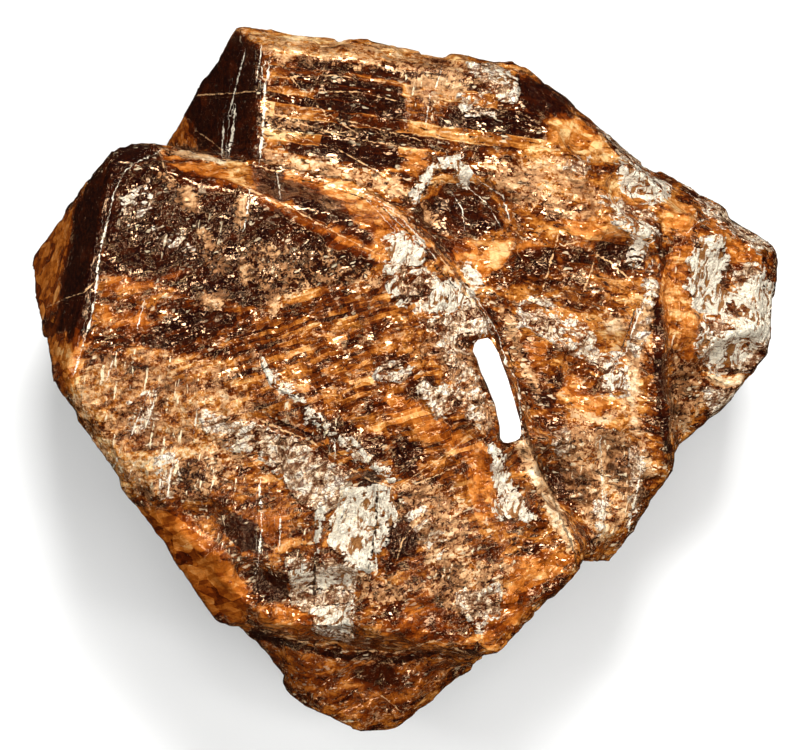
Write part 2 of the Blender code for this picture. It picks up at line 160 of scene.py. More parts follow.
OUTLINES: dict[Zone, tuple[Outline, ...]] = {}
# Most dark places are the crystal's own dark colour. The scoop, the hollows, the cave, the pits and
# crease_wall are painted shade in recesses.
OUTLINES[Zone.DARK] = (
    Outline("first_end_face", 1.5, (
        (-38.8, 32.3), (-33.9, 31.6), (-38.9, 28.1), (-40.6, 23.1), (-41.9, 18.5), (-42.7, 12.9),
        (-43.7, 5.9), (-45.6, 3.8), (-47.0, 8.0), (-46.5, 16.1), (-45.5, 22.3), (-42.8, 27.9),
    )),
    Outline("second_end_face", 1.4, (
        (-23.0, 48.0), (-19.6, 46.1), (-19.6, 30.7), (-24.4, 30.9), (-28.3, 32.3), (-29.4, 35.4),
        (-30.8, 37.7), (-26.6, 43.8),
    )),
    Outline("face_corner", 0.9, (
        (-38.1, 27.9), (-33.6, 30.4), (-31.9, 25.9), (-30.5, 22.5), (-26.6, 19.7), (-28.8, 16.1),
        (-33.9, 16.1), (-40.0, 16.7), (-40.9, 20.3),
    )),
    Outline("face_upper", 1.05, (
        (-40.6, 28.3), (-33.9, 30.4), (-21.3, 25.9), (-10.1, 19.5), (-2.4, 16.1), (-5.9, 13.3),
        (-14.3, 12.5), (-21.3, 9.8), (-28.3, 11.9), (-35.3, 13.6), (-41.9, 14.7),
    )),
    Outline("face_corner_right", 1.0, (
        (-28.8, 26.2), (-23.8, 26.2), (-23.5, 23.9), (-24.1, 21.1), (-27.4, 22.3),
    )),
    Outline("under_rim_patch", 1.2, (
        (-21.0, 24.8), (-18.2, 23.9), (-15.4, 20.3), (-16.0, 16.1), (-19.6, 16.7), (-21.8, 19.5),
    )),
    Outline("under_rim_right", 0.8, (
        (-14.3, 21.7), (-10.1, 19.5), (-4.2, 17.5), (-3.4, 16.1), (-8.7, 16.1), (-13.4, 18.3),
    )),
    Outline("long_patch", 1.3, (
        (-36.1, 5.5), (-32.2, 8.0), (-26.6, 9.4), (-22.7, 9.0), (-23.5, 7.1), (-28.3, 5.5), (-31.6, 4.1),
        (-35.3, 4.3),
    )),
    Outline("rim_hollow", 1.3, (
        (-16.0, 27.0), (-11.5, 26.2), (-8.1, 23.7), (-7.0, 21.4), (-10.1, 22.3), (-14.3, 23.9),
    )),
    Outline("rim_notch", 1.0, (
        (-20.2, 29.3), (-16.5, 28.4), (-15.7, 26.5), (-16.5, 24.2), (-19.6, 26.2),
    )),
    Outline("slab_top", 1.0, (
        (-14.3, 44.4), (-8.0, 44.1), (-0.3, 42.7), (-0.8, 42.0), (-8.7, 42.7), (-14.3, 43.3),
    )),
    Outline("slab_second", 1.2, (
        (-15.4, 41.9), (-7.0, 41.6), (0.0, 40.2), (-0.3, 39.2), (-7.8, 39.9), (-14.3, 40.5),
    )),
    Outline("slab_third", 1.4, (
        (-11.8, 39.3), (-7.8, 39.8), (0.3, 38.9), (0.8, 37.4), (-7.3, 37.1), (-11.5, 37.7),
    )),
    Outline("slab_fourth", 1.0, ((-8.7, 36.8), (0.8, 36.5), (1.4, 34.6), (-4.2, 34.0), (-8.7, 35.4))),
    Outline("slab_fifth", 0.9, (
        (-17.6, 36.5), (-11.8, 35.7), (-10.1, 34.0), (-14.3, 34.0), (-17.4, 34.6),
    )),
    Outline("slab_low", 1.5, SLAB_LOW),
    Outline("slab_right", 1.2, (
        (7.0, 36.8), (13.7, 37.1), (18.2, 36.3), (17.6, 34.0), (12.3, 34.3), (7.6, 35.1),
    )),
    Outline("corner_facet", 1.5, CORNER_FACET),
    Outline("scoop", 1.3, (
        (2.0, 23.9), (5.0, 25.3), (6.7, 27.0), (11.2, 27.0), (13.4, 24.2), (14.3, 21.1), (10.9, 20.0),
        (5.3, 20.3), (2.5, 21.4),
    )),
    Outline("scoop_lower", 1.0, ((3.9, 19.7), (8.4, 19.2), (9.5, 17.8), (6.2, 17.5))),
    Outline("hollow_right", 1.1, ((27.4, 18.6), (33.3, 19.2), (34.2, 16.1), (31.6, 13.9), (27.7, 14.7))),
    Outline("hollow_middle", 0.9, ((15.7, 17.5), (21.0, 18.1), (22.1, 15.8), (19.3, 14.1), (16.0, 15.0))),
    Outline("hollow_low", 1.1, (
        (19.3, -12.7), (23.8, -11.9), (26.3, -14.1), (25.5, -17.2), (21.6, -17.2), (19.3, -15.5),
    )),
    Outline("pit_one", 1.9, (
        (-24.8, -20.0), (-23.0, -19.2), (-19.9, -21.1), (-19.6, -23.4), (-22.1, -23.9), (-24.4, -22.3),
    )),
    Outline("pit_two", 1.9, ((-31.1, -12.7), (-28.8, -12.2), (-28.0, -13.9), (-30.0, -15.0))),
    Outline("pit_three", 1.9, ((-20.4, -27.3), (-16.0, -27.6), (-15.7, -30.4), (-19.6, -30.9))),
    Outline("pit_four", 1.9, ((-2.2, -21.4), (0.8, -19.5), (2.5, -21.4), (1.4, -24.5), (-1.4, -25.1))),
    Outline("pit_five", 1.9, ((-1.1, -9.7), (1.7, -8.8), (3.1, -10.5), (1.1, -12.7), (-0.8, -11.9))),
    Outline("under_chain", 0.9, (
        (-14.3, -3.9), (-8.0, -5.7), (-1.7, -8.8), (-2.0, -11.9), (-7.3, -9.4), (-11.8, -7.7),
    )),
    Outline("low_brown", 0.6, ((3.9, -26.3), (8.4, -25.6), (9.5, -29.8), (5.3, -31.2))),
    Outline("foot_lobe", 0.42, FOOT_LOBE),
    Outline("lobe_centre", 0.9, (
        (-6.4, -40.2), (-1.4, -39.9), (-0.3, -42.7), (-3.6, -44.4), (-7.0, -42.4),
    )),
    Outline("low_facet", 0.5, ((2.5, -33.3), (5.3, -31.2), (9.5, -36.8), (5.3, -38.2))),
    Outline("speck_middle", 0.7, (
        (-33.9, 10.8), (-28.8, 11.3), (-25.2, 10.2), (-29.7, 9.1), (-33.9, 9.1),
    )),
    Outline("right_of_strip", 0.8, ((17.6, 0.7), (20.4, -1.0), (22.1, -3.8), (19.9, -3.8), (17.9, -2.1))),
    Outline("crease_wall", 0.9, ((35.4, 10.8), (36.7, 10.8), (37.5, -6.0), (36.1, -6.0))),
    Outline("offshoot_low", 0.6, ((37.2, 0.7), (40.3, 1.3), (41.7, -3.2), (38.9, -7.4), (37.2, -6.0))),
    Outline("cave_right", 0.8, ((28.3, -8.8), (32.2, -9.1), (33.3, -13.0), (31.6, -17.2), (29.1, -14.4))),
)
OUTLINES[Zone.AMBER] = (
    Outline("first_end_tip", 1.5, (
        (-46.2, 23.4), (-52.4, 16.1), (-50.0, 7.3), (-48.2, 9.9), (-46.8, 16.1), (-45.6, 21.1),
    )),
    Outline("first_end_foot", 1.4, (
        (-49.3, 5.5), (-45.1, 6.6), (-43.4, 4.1), (-45.6, -1.3), (-47.3, -2.4),
    )),
    Outline("second_end_foot", 1.4, (
        (-31.4, 37.4), (-29.1, 35.4), (-28.3, 32.2), (-33.6, 32.6), (-33.0, 35.1),
    )),
    Outline("rim_red_facet", 1.5, RIM_RED_FACET),
    Outline("rim_orange_band", 1.6, (
        (-21.8, 26.3), (-15.4, 23.9), (-7.8, 19.7), (-2.2, 17.5), (-2.5, 16.1), (-8.7, 18.3),
        (-16.0, 22.5), (-21.3, 24.8),
    )),
    Outline("rim_orange_facets", 1.6, RIM_ORANGE_FACETS),
    Outline("face_middle", 0.35, (
        (-21.3, 5.2), (-10.1, 8.0), (2.5, 6.6), (5.3, 2.4), (-0.3, -3.2), (5.3, -7.4), (9.5, -10.2),
        (5.3, -14.4), (-1.7, -13.0), (-14.3, -7.4), (-21.3, -3.2),
    )),
    Outline("face_orange_right", 1.0, FACE_ORANGE_RIGHT),
    Outline("wedge", 2.2, WEDGE),
    Outline("scoop_red_facet", 1.4, ((5.9, 19.2), (10.9, 18.3), (10.6, 15.8), (7.0, 16.4))),
    Outline("leaf", 1.6, ((16.0, 19.5), (14.6, 16.1), (11.5, 13.6), (10.6, 15.8), (12.6, 18.3))),
    Outline("beside_leaf", 1.2, ((16.2, 19.2), (19.9, 18.3), (20.2, 16.1), (17.1, 16.1))),
    Outline("corner_facets", 1.3, CORNER_FACETS),
    Outline("right_facet", 1.0, ((22.1, 22.3), (28.6, 22.8), (31.6, 20.9), (30.5, 18.6), (24.9, 18.3))),
    Outline("over_crease", 1.2, ((36.7, 24.8), (40.6, 24.2), (40.9, 21.7), (40.3, 19.5), (36.7, 21.1))),
    Outline("offshoot_wall", 1.5, OFFSHOOT_WALL),
    Outline("offshoot_upper", 1.2, (
        (42.8, 22.3), (47.6, 19.7), (51.2, 16.1), (51.0, 13.3), (47.3, 13.6), (45.4, 17.8),
    )),
    Outline("beside_strip", 1.2, BESIDE_STRIP),
    Outline("scoop_low", 1.0, (
        (23.0, 0.7), (26.6, -2.1), (31.4, -3.2), (29.1, -5.5), (24.9, -4.9), (22.4, -2.4),
    )),
    Outline("low_left_rim", 1.5, LOW_LEFT_RIM),
    Outline("low_right_rim", 1.4, (
        (14.8, -25.6), (20.4, -24.2), (24.4, -25.1), (20.0, -29.0), (16.5, -33.7), (12.3, -37.7),
        (11.8, -34.0), (15.4, -29.8),
    )),
    Outline("low_middle", 0.8, LOW_MIDDLE),
    Outline("low_left_middle", 0.8, (
        (-19.6, -18.1), (-15.4, -18.6), (-14.8, -23.9), (-18.2, -24.5), (-20.2, -21.4),
    )),
    Outline("foot_lobe", 0.7, FOOT_LOBE),
    Outline("brown_band", 0.9, (
        (-20.2, -32.1), (-14.3, -31.5), (-10.1, -33.7), (-8.7, -37.1), (-14.3, -36.3), (-19.6, -34.6),
    )),
    Outline("red_brown_stripes", 0.8, (
        (-41.7, 13.9), (-35.3, 14.7), (-29.1, 16.1), (-28.6, 14.1), (-35.3, 12.2), (-41.7, 11.3),
    )),
    Outline("red_brown_low", 0.7, ((-42.0, 10.8), (-35.3, 10.5), (-33.9, 5.7), (-41.7, 4.6))),
    Outline("low_left_small", 0.8, ((-41.2, -11.1), (-38.4, -10.5), (-36.7, -16.1), (-38.4, -17.2))),
    Outline("top_orange", 0.8, ((0.3, 31.8), (3.9, 31.8), (4.2, 29.0), (1.4, 28.7))),
)
OUTLINES[Zone.YELLOW] = (
    Outline("top_strip", 1.4, (
        (-23.1, 48.7), (-10.1, 48.0), (-0.3, 46.8), (8.1, 45.4), (13.7, 44.0), (18.2, 42.6), (13.7, 42.7),
        (7.0, 43.3), (-0.3, 44.1), (-10.1, 44.7), (-16.8, 44.4), (-19.3, 45.5),
    )),
    Outline("right_upper", 0.85, (
        (22.1, 36.7), (30.5, 31.8), (40.3, 24.1), (36.1, 19.9), (27.7, 21.3), (19.3, 26.9), (17.9, 31.8),
    )),
    Outline("ridge", 0.6, (
        (29.1, 15.7), (35.4, 17.8), (35.4, 5.2), (34.7, -8.8), (29.8, -7.4), (27.7, 3.8),
    )),
    Outline("shoulder", 0.5, (
        (-1.0, 19.2), (5.3, 17.8), (10.9, 6.6), (13.7, -7.4), (6.7, -6.0), (1.1, 5.2),
    )),
    Outline("rim_block", 1.4, (
        (-24.9, 30.4), (-21.3, 29.5), (-20.3, 27.9), (-21.6, 26.7), (-23.5, 27.6),
    )),
    Outline("rim_orange_facets", 0.45, RIM_ORANGE_FACETS),
    Outline("offshoot_wall", 0.45, OFFSHOOT_WALL),
    Outline("tan_oval", 1.4, ((-6.3, 42.7), (-4.5, 43.5), (-2.5, 42.7), (-2.8, 41.3), (-5.0, 41.0))),
    Outline("face_low_left", 0.8, (
        (-45.1, 3.5), (-36.7, 4.3), (-29.7, 3.5), (-21.3, 2.4), (-19.6, -3.2), (-22.7, -7.4),
        (-31.1, -11.6), (-35.3, -17.2), (-39.5, -15.8), (-43.7, -8.8), (-46.2, -3.2),
    )),
    Outline("face_middle", 0.3, (
        (-19.6, 10.8), (-10.1, 13.3), (-0.3, 12.7), (1.1, 9.4), (-5.9, 6.6), (-17.1, 5.2),
    )),
    Outline("corner_facets", 0.9, ((24.1, 35.7), (27.7, 33.2), (26.3, 31.8), (23.8, 33.5))),
    Outline("first_end_foot", 0.6, ((-47.9, 4.6), (-45.4, 5.2), (-45.1, 1.5), (-46.8, -0.4))),
    Outline("leaf", 1.5, ((15.7, 18.9), (14.0, 16.1), (12.3, 15.0), (12.9, 17.8))),
    Outline("right_cream", 1.2, ((28.3, 29.0), (34.7, 28.1), (36.1, 23.9), (33.3, 20.3), (28.6, 22.8))),
    Outline("offshoot_foil", 0.6, (
        (46.8, 15.3), (50.4, 16.1), (52.4, 10.8), (51.8, 4.6), (49.3, 1.0), (44.0, 0.7), (41.7, 3.5),
        (44.0, 7.7),
    )),
    Outline("top_left_band", 0.6, (
        (-19.3, 44.1), (-15.7, 42.1), (-11.5, 37.7), (-7.3, 35.1), (-3.6, 32.9), (-8.7, 33.7),
        (-18.5, 37.1),
    )),
    Outline("top_right_band", 0.6, ((0.0, 42.7), (9.5, 41.6), (9.0, 37.4), (3.9, 34.0), (0.3, 36.0))),
)
OUTLINES[Zone.STAIN] = (
    Outline("yellow_crust", 0.82, (
        (-31.9, 26.7), (-29.1, 27.9), (-27.4, 25.6), (-28.0, 22.5), (-30.5, 23.1),
    )),
    Outline("peach_crust", 0.85, ((-34.2, 28.7), (-31.1, 29.0), (-29.7, 27.3), (-32.2, 26.5))),
    Outline("crust_two", 0.75, ((-27.7, 21.3), (-25.5, 20.0), (-26.6, 18.3), (-28.6, 19.5))),
    Outline("crust_three", 0.85, (
        (-22.1, 26.2), (-20.7, 25.3), (-21.0, 22.5), (-22.0, 20.6), (-23.2, 21.4), (-23.2, 23.9),
    )),
    Outline("crust_four", 0.85, (
        (-22.7, 17.2), (-21.0, 16.1), (-20.4, 13.3), (-21.6, 11.9), (-22.7, 13.0), (-23.2, 15.3),
    )),
    Outline("crust_five", 0.78, (
        (-19.6, 15.3), (-17.6, 14.1), (-16.5, 10.8), (-17.6, 7.7), (-18.8, 9.9),
    )),
    Outline("crust_six", 0.62, (
        (-27.4, 19.7), (-23.5, 18.6), (-23.2, 14.7), (-26.3, 13.6), (-28.0, 16.7),
    )),
    Outline("crust_seven", 0.75, ((-19.6, 19.2), (-17.6, 19.7), (-16.8, 16.9), (-18.2, 15.8))),
    Outline("crust_eight", 0.75, (
        (-28.6, 11.9), (-24.6, 12.7), (-23.2, 10.8), (-26.0, 9.1), (-28.8, 9.9),
    )),
    Outline("contact_stain", 0.7, (
        (-19.6, 31.8), (-14.3, 31.2), (-7.3, 29.8), (-0.3, 28.1), (3.1, 25.9), (1.4, 23.9), (-4.5, 26.2),
        (-11.5, 27.9), (-19.0, 29.3),
    )),
    Outline("rim_edge", 1.2, (
        (-33.3, 31.9), (-28.3, 31.5), (-24.4, 30.4), (-24.6, 29.4), (-28.6, 30.2), (-32.8, 30.9),
    )),
    Outline("mottled_right", 0.65, (
        (11.5, 30.9), (19.3, 30.4), (27.7, 27.3), (29.4, 22.8), (23.5, 21.1), (16.5, 23.9), (12.0, 27.0),
    )),
    Outline("under_shoulder", 0.6, (
        (3.9, 6.6), (9.5, 5.2), (11.8, 0.7), (13.7, -6.0), (12.0, -8.8), (9.0, -6.0), (6.7, -0.4),
        (2.5, 3.8),
    )),
    Outline("face_upper", 0.5, (
        (-22.7, 19.2), (-14.3, 19.2), (-3.1, 15.0), (-0.3, 12.2), (-10.1, 12.2), (-19.9, 9.4),
    )),
    Outline("peach_patch", 0.9, ((-26.0, -1.3), (-23.8, -1.5), (-22.7, -4.6), (-25.2, -4.3))),
    Outline("face_low_left", 0.55, (
        (-45.1, 3.5), (-36.7, 4.3), (-21.3, 2.4), (-19.6, -6.0), (-22.7, -13.0), (-28.3, -17.2),
        (-35.3, -17.2), (-39.5, -15.8), (-43.7, -8.8), (-46.2, -3.2),
    )),
    Outline("low_middle", 0.6, (
        (-0.3, -14.4), (5.3, -13.9), (9.5, -17.2), (10.9, -25.6), (9.5, -29.8), (3.9, -29.8),
        (2.5, -22.8), (-0.3, -18.6),
    )),
    Outline("low_speckle", 0.6, (
        (-6.4, -27.0), (-0.3, -28.4), (5.3, -27.0), (10.9, -25.6), (16.5, -25.6), (13.7, -31.2),
        (8.1, -34.0), (2.5, -30.7), (-3.1, -32.9), (-5.9, -31.2),
    )),
    Outline("strip_side", 1.2, (
        (15.4, -8.8), (17.4, -8.8), (20.0, -13.3), (23.0, -18.9), (24.9, -23.7), (23.5, -24.2),
        (21.0, -20.0), (18.5, -15.3),
    )),
    Outline("beside_strip", 0.8, (
        (13.7, 10.8), (16.5, 8.0), (17.9, 2.4), (20.4, -1.5), (19.3, -3.2), (17.1, 0.1), (14.8, 5.2),
    )),
    Outline("middle_right", 0.35, (
        (20.7, 16.1), (27.7, 16.1), (33.3, 10.8), (30.5, 5.2), (26.3, 8.0), (22.1, 10.8),
    )),
    Outline("orange_spot", 1.2, ((28.3, 7.7), (30.8, 8.5), (31.6, 6.9), (29.4, 6.3))),
    Outline("ridge", 0.85, (
        (35.3, 16.1), (36.1, 12.2), (35.6, 7.7), (34.4, 3.8), (33.3, -3.2), (34.4, -8.8), (32.5, -8.8),
        (31.1, -3.2), (31.6, 3.8), (33.0, 8.3), (34.2, 12.2),
    )),
    Outline("fan", 0.9, (
        (26.9, -9.7), (28.6, -8.8), (30.0, -11.1), (29.1, -13.9), (28.3, -17.5), (27.4, -16.1),
    )),
    Outline("scoop_rim", 0.9, (
        (23.8, -4.3), (27.7, -5.5), (31.4, -3.5), (33.3, -1.0), (34.2, -2.1), (31.9, -5.2), (28.0, -6.9),
        (23.8, -5.7),
    )),
    Outline("low_right", 0.68, (
        (22.1, -6.0), (27.7, -6.6), (34.7, -8.8), (36.1, -13.0), (31.9, -20.0), (27.7, -23.9),
        (24.9, -20.0), (22.1, -13.0),
    )),
    Outline("offshoot_tan", 1.3, ((43.1, 0.1), (47.9, 0.7), (48.2, -1.3), (44.0, -1.5))),
    Outline("offshoot_low", 0.6, ((37.8, 3.8), (41.7, 2.4), (43.4, -3.2), (40.3, -7.4), (37.5, -8.8))),
    Outline("top_strip", 0.6, TOP_STRIP),
    Outline("top_right_band", 0.7, ((1.1, 43.5), (9.5, 41.9), (9.5, 39.3), (3.9, 37.4), (0.8, 39.3))),
    Outline("first_end_line", 0.5, ((-47.9, 11.3), (-44.5, 11.9), (-43.4, 10.2), (-46.5, 9.9))),
    Outline("upper_right_low", 0.7, (
        (19.3, 31.8), (24.2, 30.7), (29.1, 25.3), (24.9, 24.8), (20.4, 27.9),
    )),
    Outline("contact_edge", 0.65, (
        (3.1, 26.2), (6.2, 21.1), (9.5, 16.1), (11.2, 11.3), (10.1, 10.8), (7.6, 16.1), (4.8, 20.3),
        (2.0, 23.9),
    )),
    Outline("pale_stripes", 0.6, (
        (-19.3, 38.8), (-14.3, 37.1), (-10.1, 34.0), (-3.1, 33.2), (-8.7, 33.5), (-17.1, 34.0),
        (-19.3, 35.4),
    )),
)
# Silvery breaks: pale fracture veils, partly a painted reflection, with painted shade in their folds and
# painted highlight on their crests. corner_haze and upper_haze paint a grey reflected sheen on the dark
# glass, a painted reflection.
OUTLINES[Zone.SILVER] = (
    Outline("band", 1.3, (
        (-20.4, -6.6), (-16.2, -8.5), (-12.0, -10.9), (-7.0, -13.7), (-6.7, -17.5), (-10.6, -18.9),
        (-14.3, -17.2), (-17.1, -13.3), (-19.6, -10.2),
    )),
    Outline("band_upper", 0.8, (
        (-28.3, -4.6), (-20.4, -6.6), (-19.6, -9.9), (-23.2, -10.5), (-27.4, -7.4),
    )),
    Outline("chain", 0.5, (
        (-14.3, -3.2), (-11.5, -4.6), (-7.0, -8.3), (-1.4, -12.7), (-0.8, -15.0), (-4.2, -13.0),
        (-8.7, -9.4), (-13.2, -6.3),
    )),
    Outline("blocks_left", 1.4, ((-15.7, -25.1), (-11.8, -25.6), (-11.8, -32.9), (-14.8, -31.8))),
    Outline("blocks_right", 1.4, ((-11.8, -25.6), (-6.4, -25.9), (-6.7, -31.8), (-11.8, -32.1))),
    Outline("blocks_low", 1.4, ((-12.3, -32.1), (-6.7, -31.2), (-7.0, -37.1), (-11.8, -35.1))),
    Outline("shoulder_ripple", 0.8, (
        (-1.7, 16.1), (1.1, 16.9), (4.8, 14.7), (8.1, 10.8), (9.5, 6.6), (6.7, 4.6), (3.9, 6.6),
        (1.1, 9.9), (-1.1, 12.5),
    )),
    Outline("shoulder_low", 0.65, (
        (5.3, 10.8), (10.9, 11.3), (13.2, 6.6), (10.9, 5.2), (8.1, 2.4), (5.3, 3.8), (3.9, 6.6),
    )),
    Outline("left_of_strip", 0.6, (
        (5.3, 4.5), (9.5, 3.5), (11.8, -1.0), (13.2, -6.0), (12.3, -8.3), (9.5, -6.0), (7.0, -1.8),
    )),
    Outline("small_middle", 0.9, ((-3.6, 2.7), (-0.3, 2.7), (2.5, 0.7), (-0.3, -0.7), (-3.1, 0.1))),
    Outline("small_right", 1.0, ((2.5, -0.7), (8.1, -1.3), (9.0, -4.1), (5.3, -5.5), (3.1, -3.5))),
    Outline("low_left_spikes", 0.45, (
        (-38.4, -3.2), (-33.9, -1.3), (-33.0, -7.4), (-35.3, -10.2), (-38.1, -9.4),
    )),
    Outline("low_left_spikes_two", 0.55, (
        (-34.7, -10.2), (-31.1, -10.5), (-31.1, -16.7), (-33.6, -17.2),
    )),
    Outline("right_middle", 0.75, (
        (16.5, 10.2), (20.2, 11.1), (24.9, 8.0), (28.0, 4.9), (27.4, 2.1), (23.5, 3.2), (19.3, 5.7),
        (16.8, 7.1),
    )),
    Outline("top_right", 1.2, (
        (9.5, 43.8), (13.7, 43.5), (16.5, 41.6), (16.2, 38.2), (13.7, 38.8), (11.5, 41.0),
    )),
    Outline("top_right_low", 1.0, ((8.4, 39.3), (12.6, 39.6), (13.2, 36.3), (9.0, 36.5))),
    Outline("pink_patch", 0.9, ((23.2, 30.9), (26.3, 30.4), (26.6, 27.3), (23.8, 27.6))),
    Outline("right_cream", 0.7, (
        (27.7, 25.3), (33.3, 24.2), (36.4, 22.8), (36.1, 19.2), (33.3, 18.3), (30.0, 21.1),
    )),
    Outline("offshoot_foil", 1.0, (
        (46.8, 15.3), (50.4, 16.4), (52.6, 10.8), (52.1, 4.3), (49.3, 1.0), (44.0, 0.4), (41.4, 3.5),
        (43.7, 7.7), (46.5, 10.8),
    )),
    Outline("offshoot_low", 1.2, ((42.6, -1.8), (47.6, -1.5), (47.0, -3.8), (43.4, -5.7))),
    Outline("ridge_stripes", 0.8, (
        (35.0, 15.8), (35.8, 11.9), (34.7, 6.6), (33.3, 2.9), (31.9, 3.5), (33.3, 9.1),
    )),
    Outline("low_right_glints", 0.9, (
        (8.4, -30.1), (13.7, -29.0), (14.3, -32.9), (10.9, -35.4), (8.4, -33.2),
    )),
    Outline("right_low_one", 1.0, ((21.0, -6.9), (23.0, -6.6), (24.1, -9.9), (22.4, -11.1))),
    Outline("right_low_two", 0.9, ((27.2, -17.2), (28.6, -16.7), (28.6, -21.4), (27.2, -22.0))),
    Outline("right_low_three", 0.8, ((32.2, -10.2), (34.2, -10.2), (33.6, -19.5), (32.2, -20.9))),
    Outline("corner_haze", 0.35, (
        (-38.6, 26.7), (-35.3, 28.1), (-33.9, 24.8), (-36.7, 21.1), (-39.8, 21.1),
    )),
    Outline("upper_haze", 0.3, ((-35.3, 21.7), (-29.7, 21.1), (-28.3, 16.9), (-33.9, 16.7))),
    Outline("side_sliver", 1.2, ((24.9, 38.2), (26.9, 37.4), (35.0, 29.3), (33.9, 28.7), (30.5, 31.8))),
    Outline("offshoot_sliver", 1.0, (
        (40.0, 26.2), (42.3, 25.3), (52.1, 18.3), (50.7, 17.2), (44.5, 21.7),
    )),
    Outline("scoop_wall", 0.6, ((27.4, 3.5), (31.6, 3.8), (32.2, -2.7), (28.0, -2.7))),
    Outline("low_streak", 0.6, ((-0.3, -17.2), (3.4, -18.3), (6.7, -22.8), (5.3, -25.6), (2.0, -21.4))),
    Outline("chain_upper", 0.4, (
        (-19.6, 2.7), (-18.2, 2.4), (-13.4, -2.9), (-14.3, -4.3), (-18.2, -1.0),
    )),
)
# Glare: painted highlights, with facets painted near-white as if they mirrored the lamps.
OUTLINES[Zone.GLARE] = (
    Outline("facet", 1.6, (
        (-8.1, -15.5), (-4.8, -15.8), (-1.4, -15.0), (-1.0, -18.1), (-2.0, -22.8), (-4.2, -26.7),
        (-7.0, -25.9), (-9.4, -23.9), (-9.7, -20.0), (-8.7, -17.9),
    )),
    Outline("block_one", 1.3, ((-15.1, -25.6), (-12.3, -25.9), (-12.3, -28.7), (-14.8, -28.4))),
    Outline("block_two", 1.2, ((-11.2, -27.3), (-7.0, -27.6), (-7.6, -29.0), (-11.2, -29.5))),
    Outline("block_three", 1.2, ((-11.2, -32.9), (-7.3, -32.3), (-7.3, -36.0), (-10.9, -34.3))),
    Outline("shoulder_top", 1.4, (
        (-2.2, 19.2), (0.0, 19.9), (3.1, 19.2), (3.9, 16.7), (2.2, 15.3), (-0.8, 16.4),
    )),
    Outline("shoulder_bulge", 1.5, (
        (4.8, 12.7), (8.4, 13.3), (10.1, 11.3), (7.6, 9.7), (4.8, 7.7), (3.4, 8.5),
    )),
    Outline("shoulder_rim", 1.0, (
        (-2.2, 16.1), (-1.1, 15.8), (-0.3, 12.2), (1.1, 9.7), (0.0, 9.7), (-1.7, 12.2),
    )),
    Outline("right_of_wedge", 1.6, (
        (12.6, -9.5), (14.0, -10.9), (15.1, -13.6), (16.2, -16.4), (18.2, -19.5), (13.7, -19.5),
        (13.4, -15.8), (12.9, -12.5),
    )),
    Outline("right_facet", 0.75, (
        (30.0, 30.1), (33.3, 29.5), (37.8, 26.2), (36.7, 23.9), (33.3, 23.9), (31.1, 26.2),
    )),
    Outline("right_streak", 1.2, ((32.2, 21.7), (35.6, 21.1), (33.9, 17.8), (32.5, 15.5), (31.9, 18.3))),
    Outline("offshoot", 1.7, OFFSHOOT),
    Outline("offshoot_right", 1.5, (
        (47.0, 9.1), (48.4, 13.3), (51.0, 15.0), (52.2, 10.8), (51.6, 6.6), (49.0, 3.8),
    )),
    Outline("offshoot_middle", 1.3, ((43.7, 4.5), (46.5, 7.3), (48.6, 4.5), (47.6, 1.7), (44.4, 1.0))),
    Outline("offshoot_low", 0.9, ((42.8, 8.3), (44.0, 8.3), (42.3, 3.8), (41.4, 3.8))),
    Outline("scoop_wall", 1.0, ((28.6, 2.1), (31.4, 1.5), (31.4, -1.3), (28.6, -1.5))),
    Outline("curl_right", 1.5, ((7.6, 30.7), (9.0, 30.4), (9.8, 28.4), (9.0, 26.5), (7.8, 27.6))),
    Outline("curl_left", 1.5, (
        (6.2, 30.9), (7.3, 30.4), (4.5, 28.1), (2.8, 25.3), (2.0, 23.9), (1.7, 25.6), (3.1, 28.1),
    )),
    Outline("top_right", 0.9, ((14.8, 43.5), (16.2, 41.0), (15.1, 40.5), (13.7, 42.7))),
    Outline("strip_upper", 1.0, ((9.5, 16.1), (11.8, 12.7), (10.6, 12.2), (8.7, 15.0))),
    Outline("offshoot_foil", 1.5, ((47.9, 13.6), (51.0, 13.0), (51.5, 6.6), (48.4, 4.6), (47.0, 9.1))),
)
OUTLINES[Zone.CLEAN] = (
    Outline("first_end", 1.0, (
        (-38.8, 32.3), (-33.9, 31.6), (-38.9, 28.1), (-41.9, 18.5), (-42.7, 12.9), (-43.7, 5.9),
        (-45.6, -1.8), (-47.3, -2.4), (-50.0, 6.6), (-52.6, 16.1),
    )),
    Outline("second_end", 0.9, (
        (-23.0, 48.0), (-21.3, 46.3), (-20.7, 30.7), (-24.4, 30.9), (-33.6, 32.6), (-30.8, 37.7),
    )),
    Outline("rim_red_facet", 0.8, RIM_RED_FACET),
    Outline("rim_facets", 0.7, (
        (-21.8, 29.5), (-14.3, 28.7), (-7.6, 27.0), (-2.2, 24.5), (1.4, 21.7), (4.2, 17.8), (-0.3, 17.2),
        (-8.7, 18.3), (-16.0, 22.5), (-21.3, 24.8),
    )),
    Outline("wedge", 0.5, WEDGE),
    Outline("leaf", 0.8, (
        (16.0, 19.5), (14.6, 16.1), (11.5, 13.6), (10.6, 15.8), (7.0, 16.1), (5.9, 19.2), (10.9, 18.3),
        (12.6, 18.3),
    )),
    Outline("corner_facet", 1.0, CORNER_FACET),
    Outline("corner_facets", 0.8, CORNER_FACETS),
    Outline("offshoot_wall", 0.4, OFFSHOOT_WALL),
    Outline("foot_lobe", 0.45, FOOT_LOBE),
    Outline("face_orange_right", 0.6, FACE_ORANGE_RIGHT),
    Outline("low_left_rim", 1.1, LOW_LEFT_RIM),
    Outline("slab_low", 0.5, SLAB_LOW),
    Outline("low_middle", 0.5, LOW_MIDDLE),
    Outline("beside_strip", 0.7, BESIDE_STRIP),
    Outline("offshoot_glare", 0.8, OFFSHOOT),
)
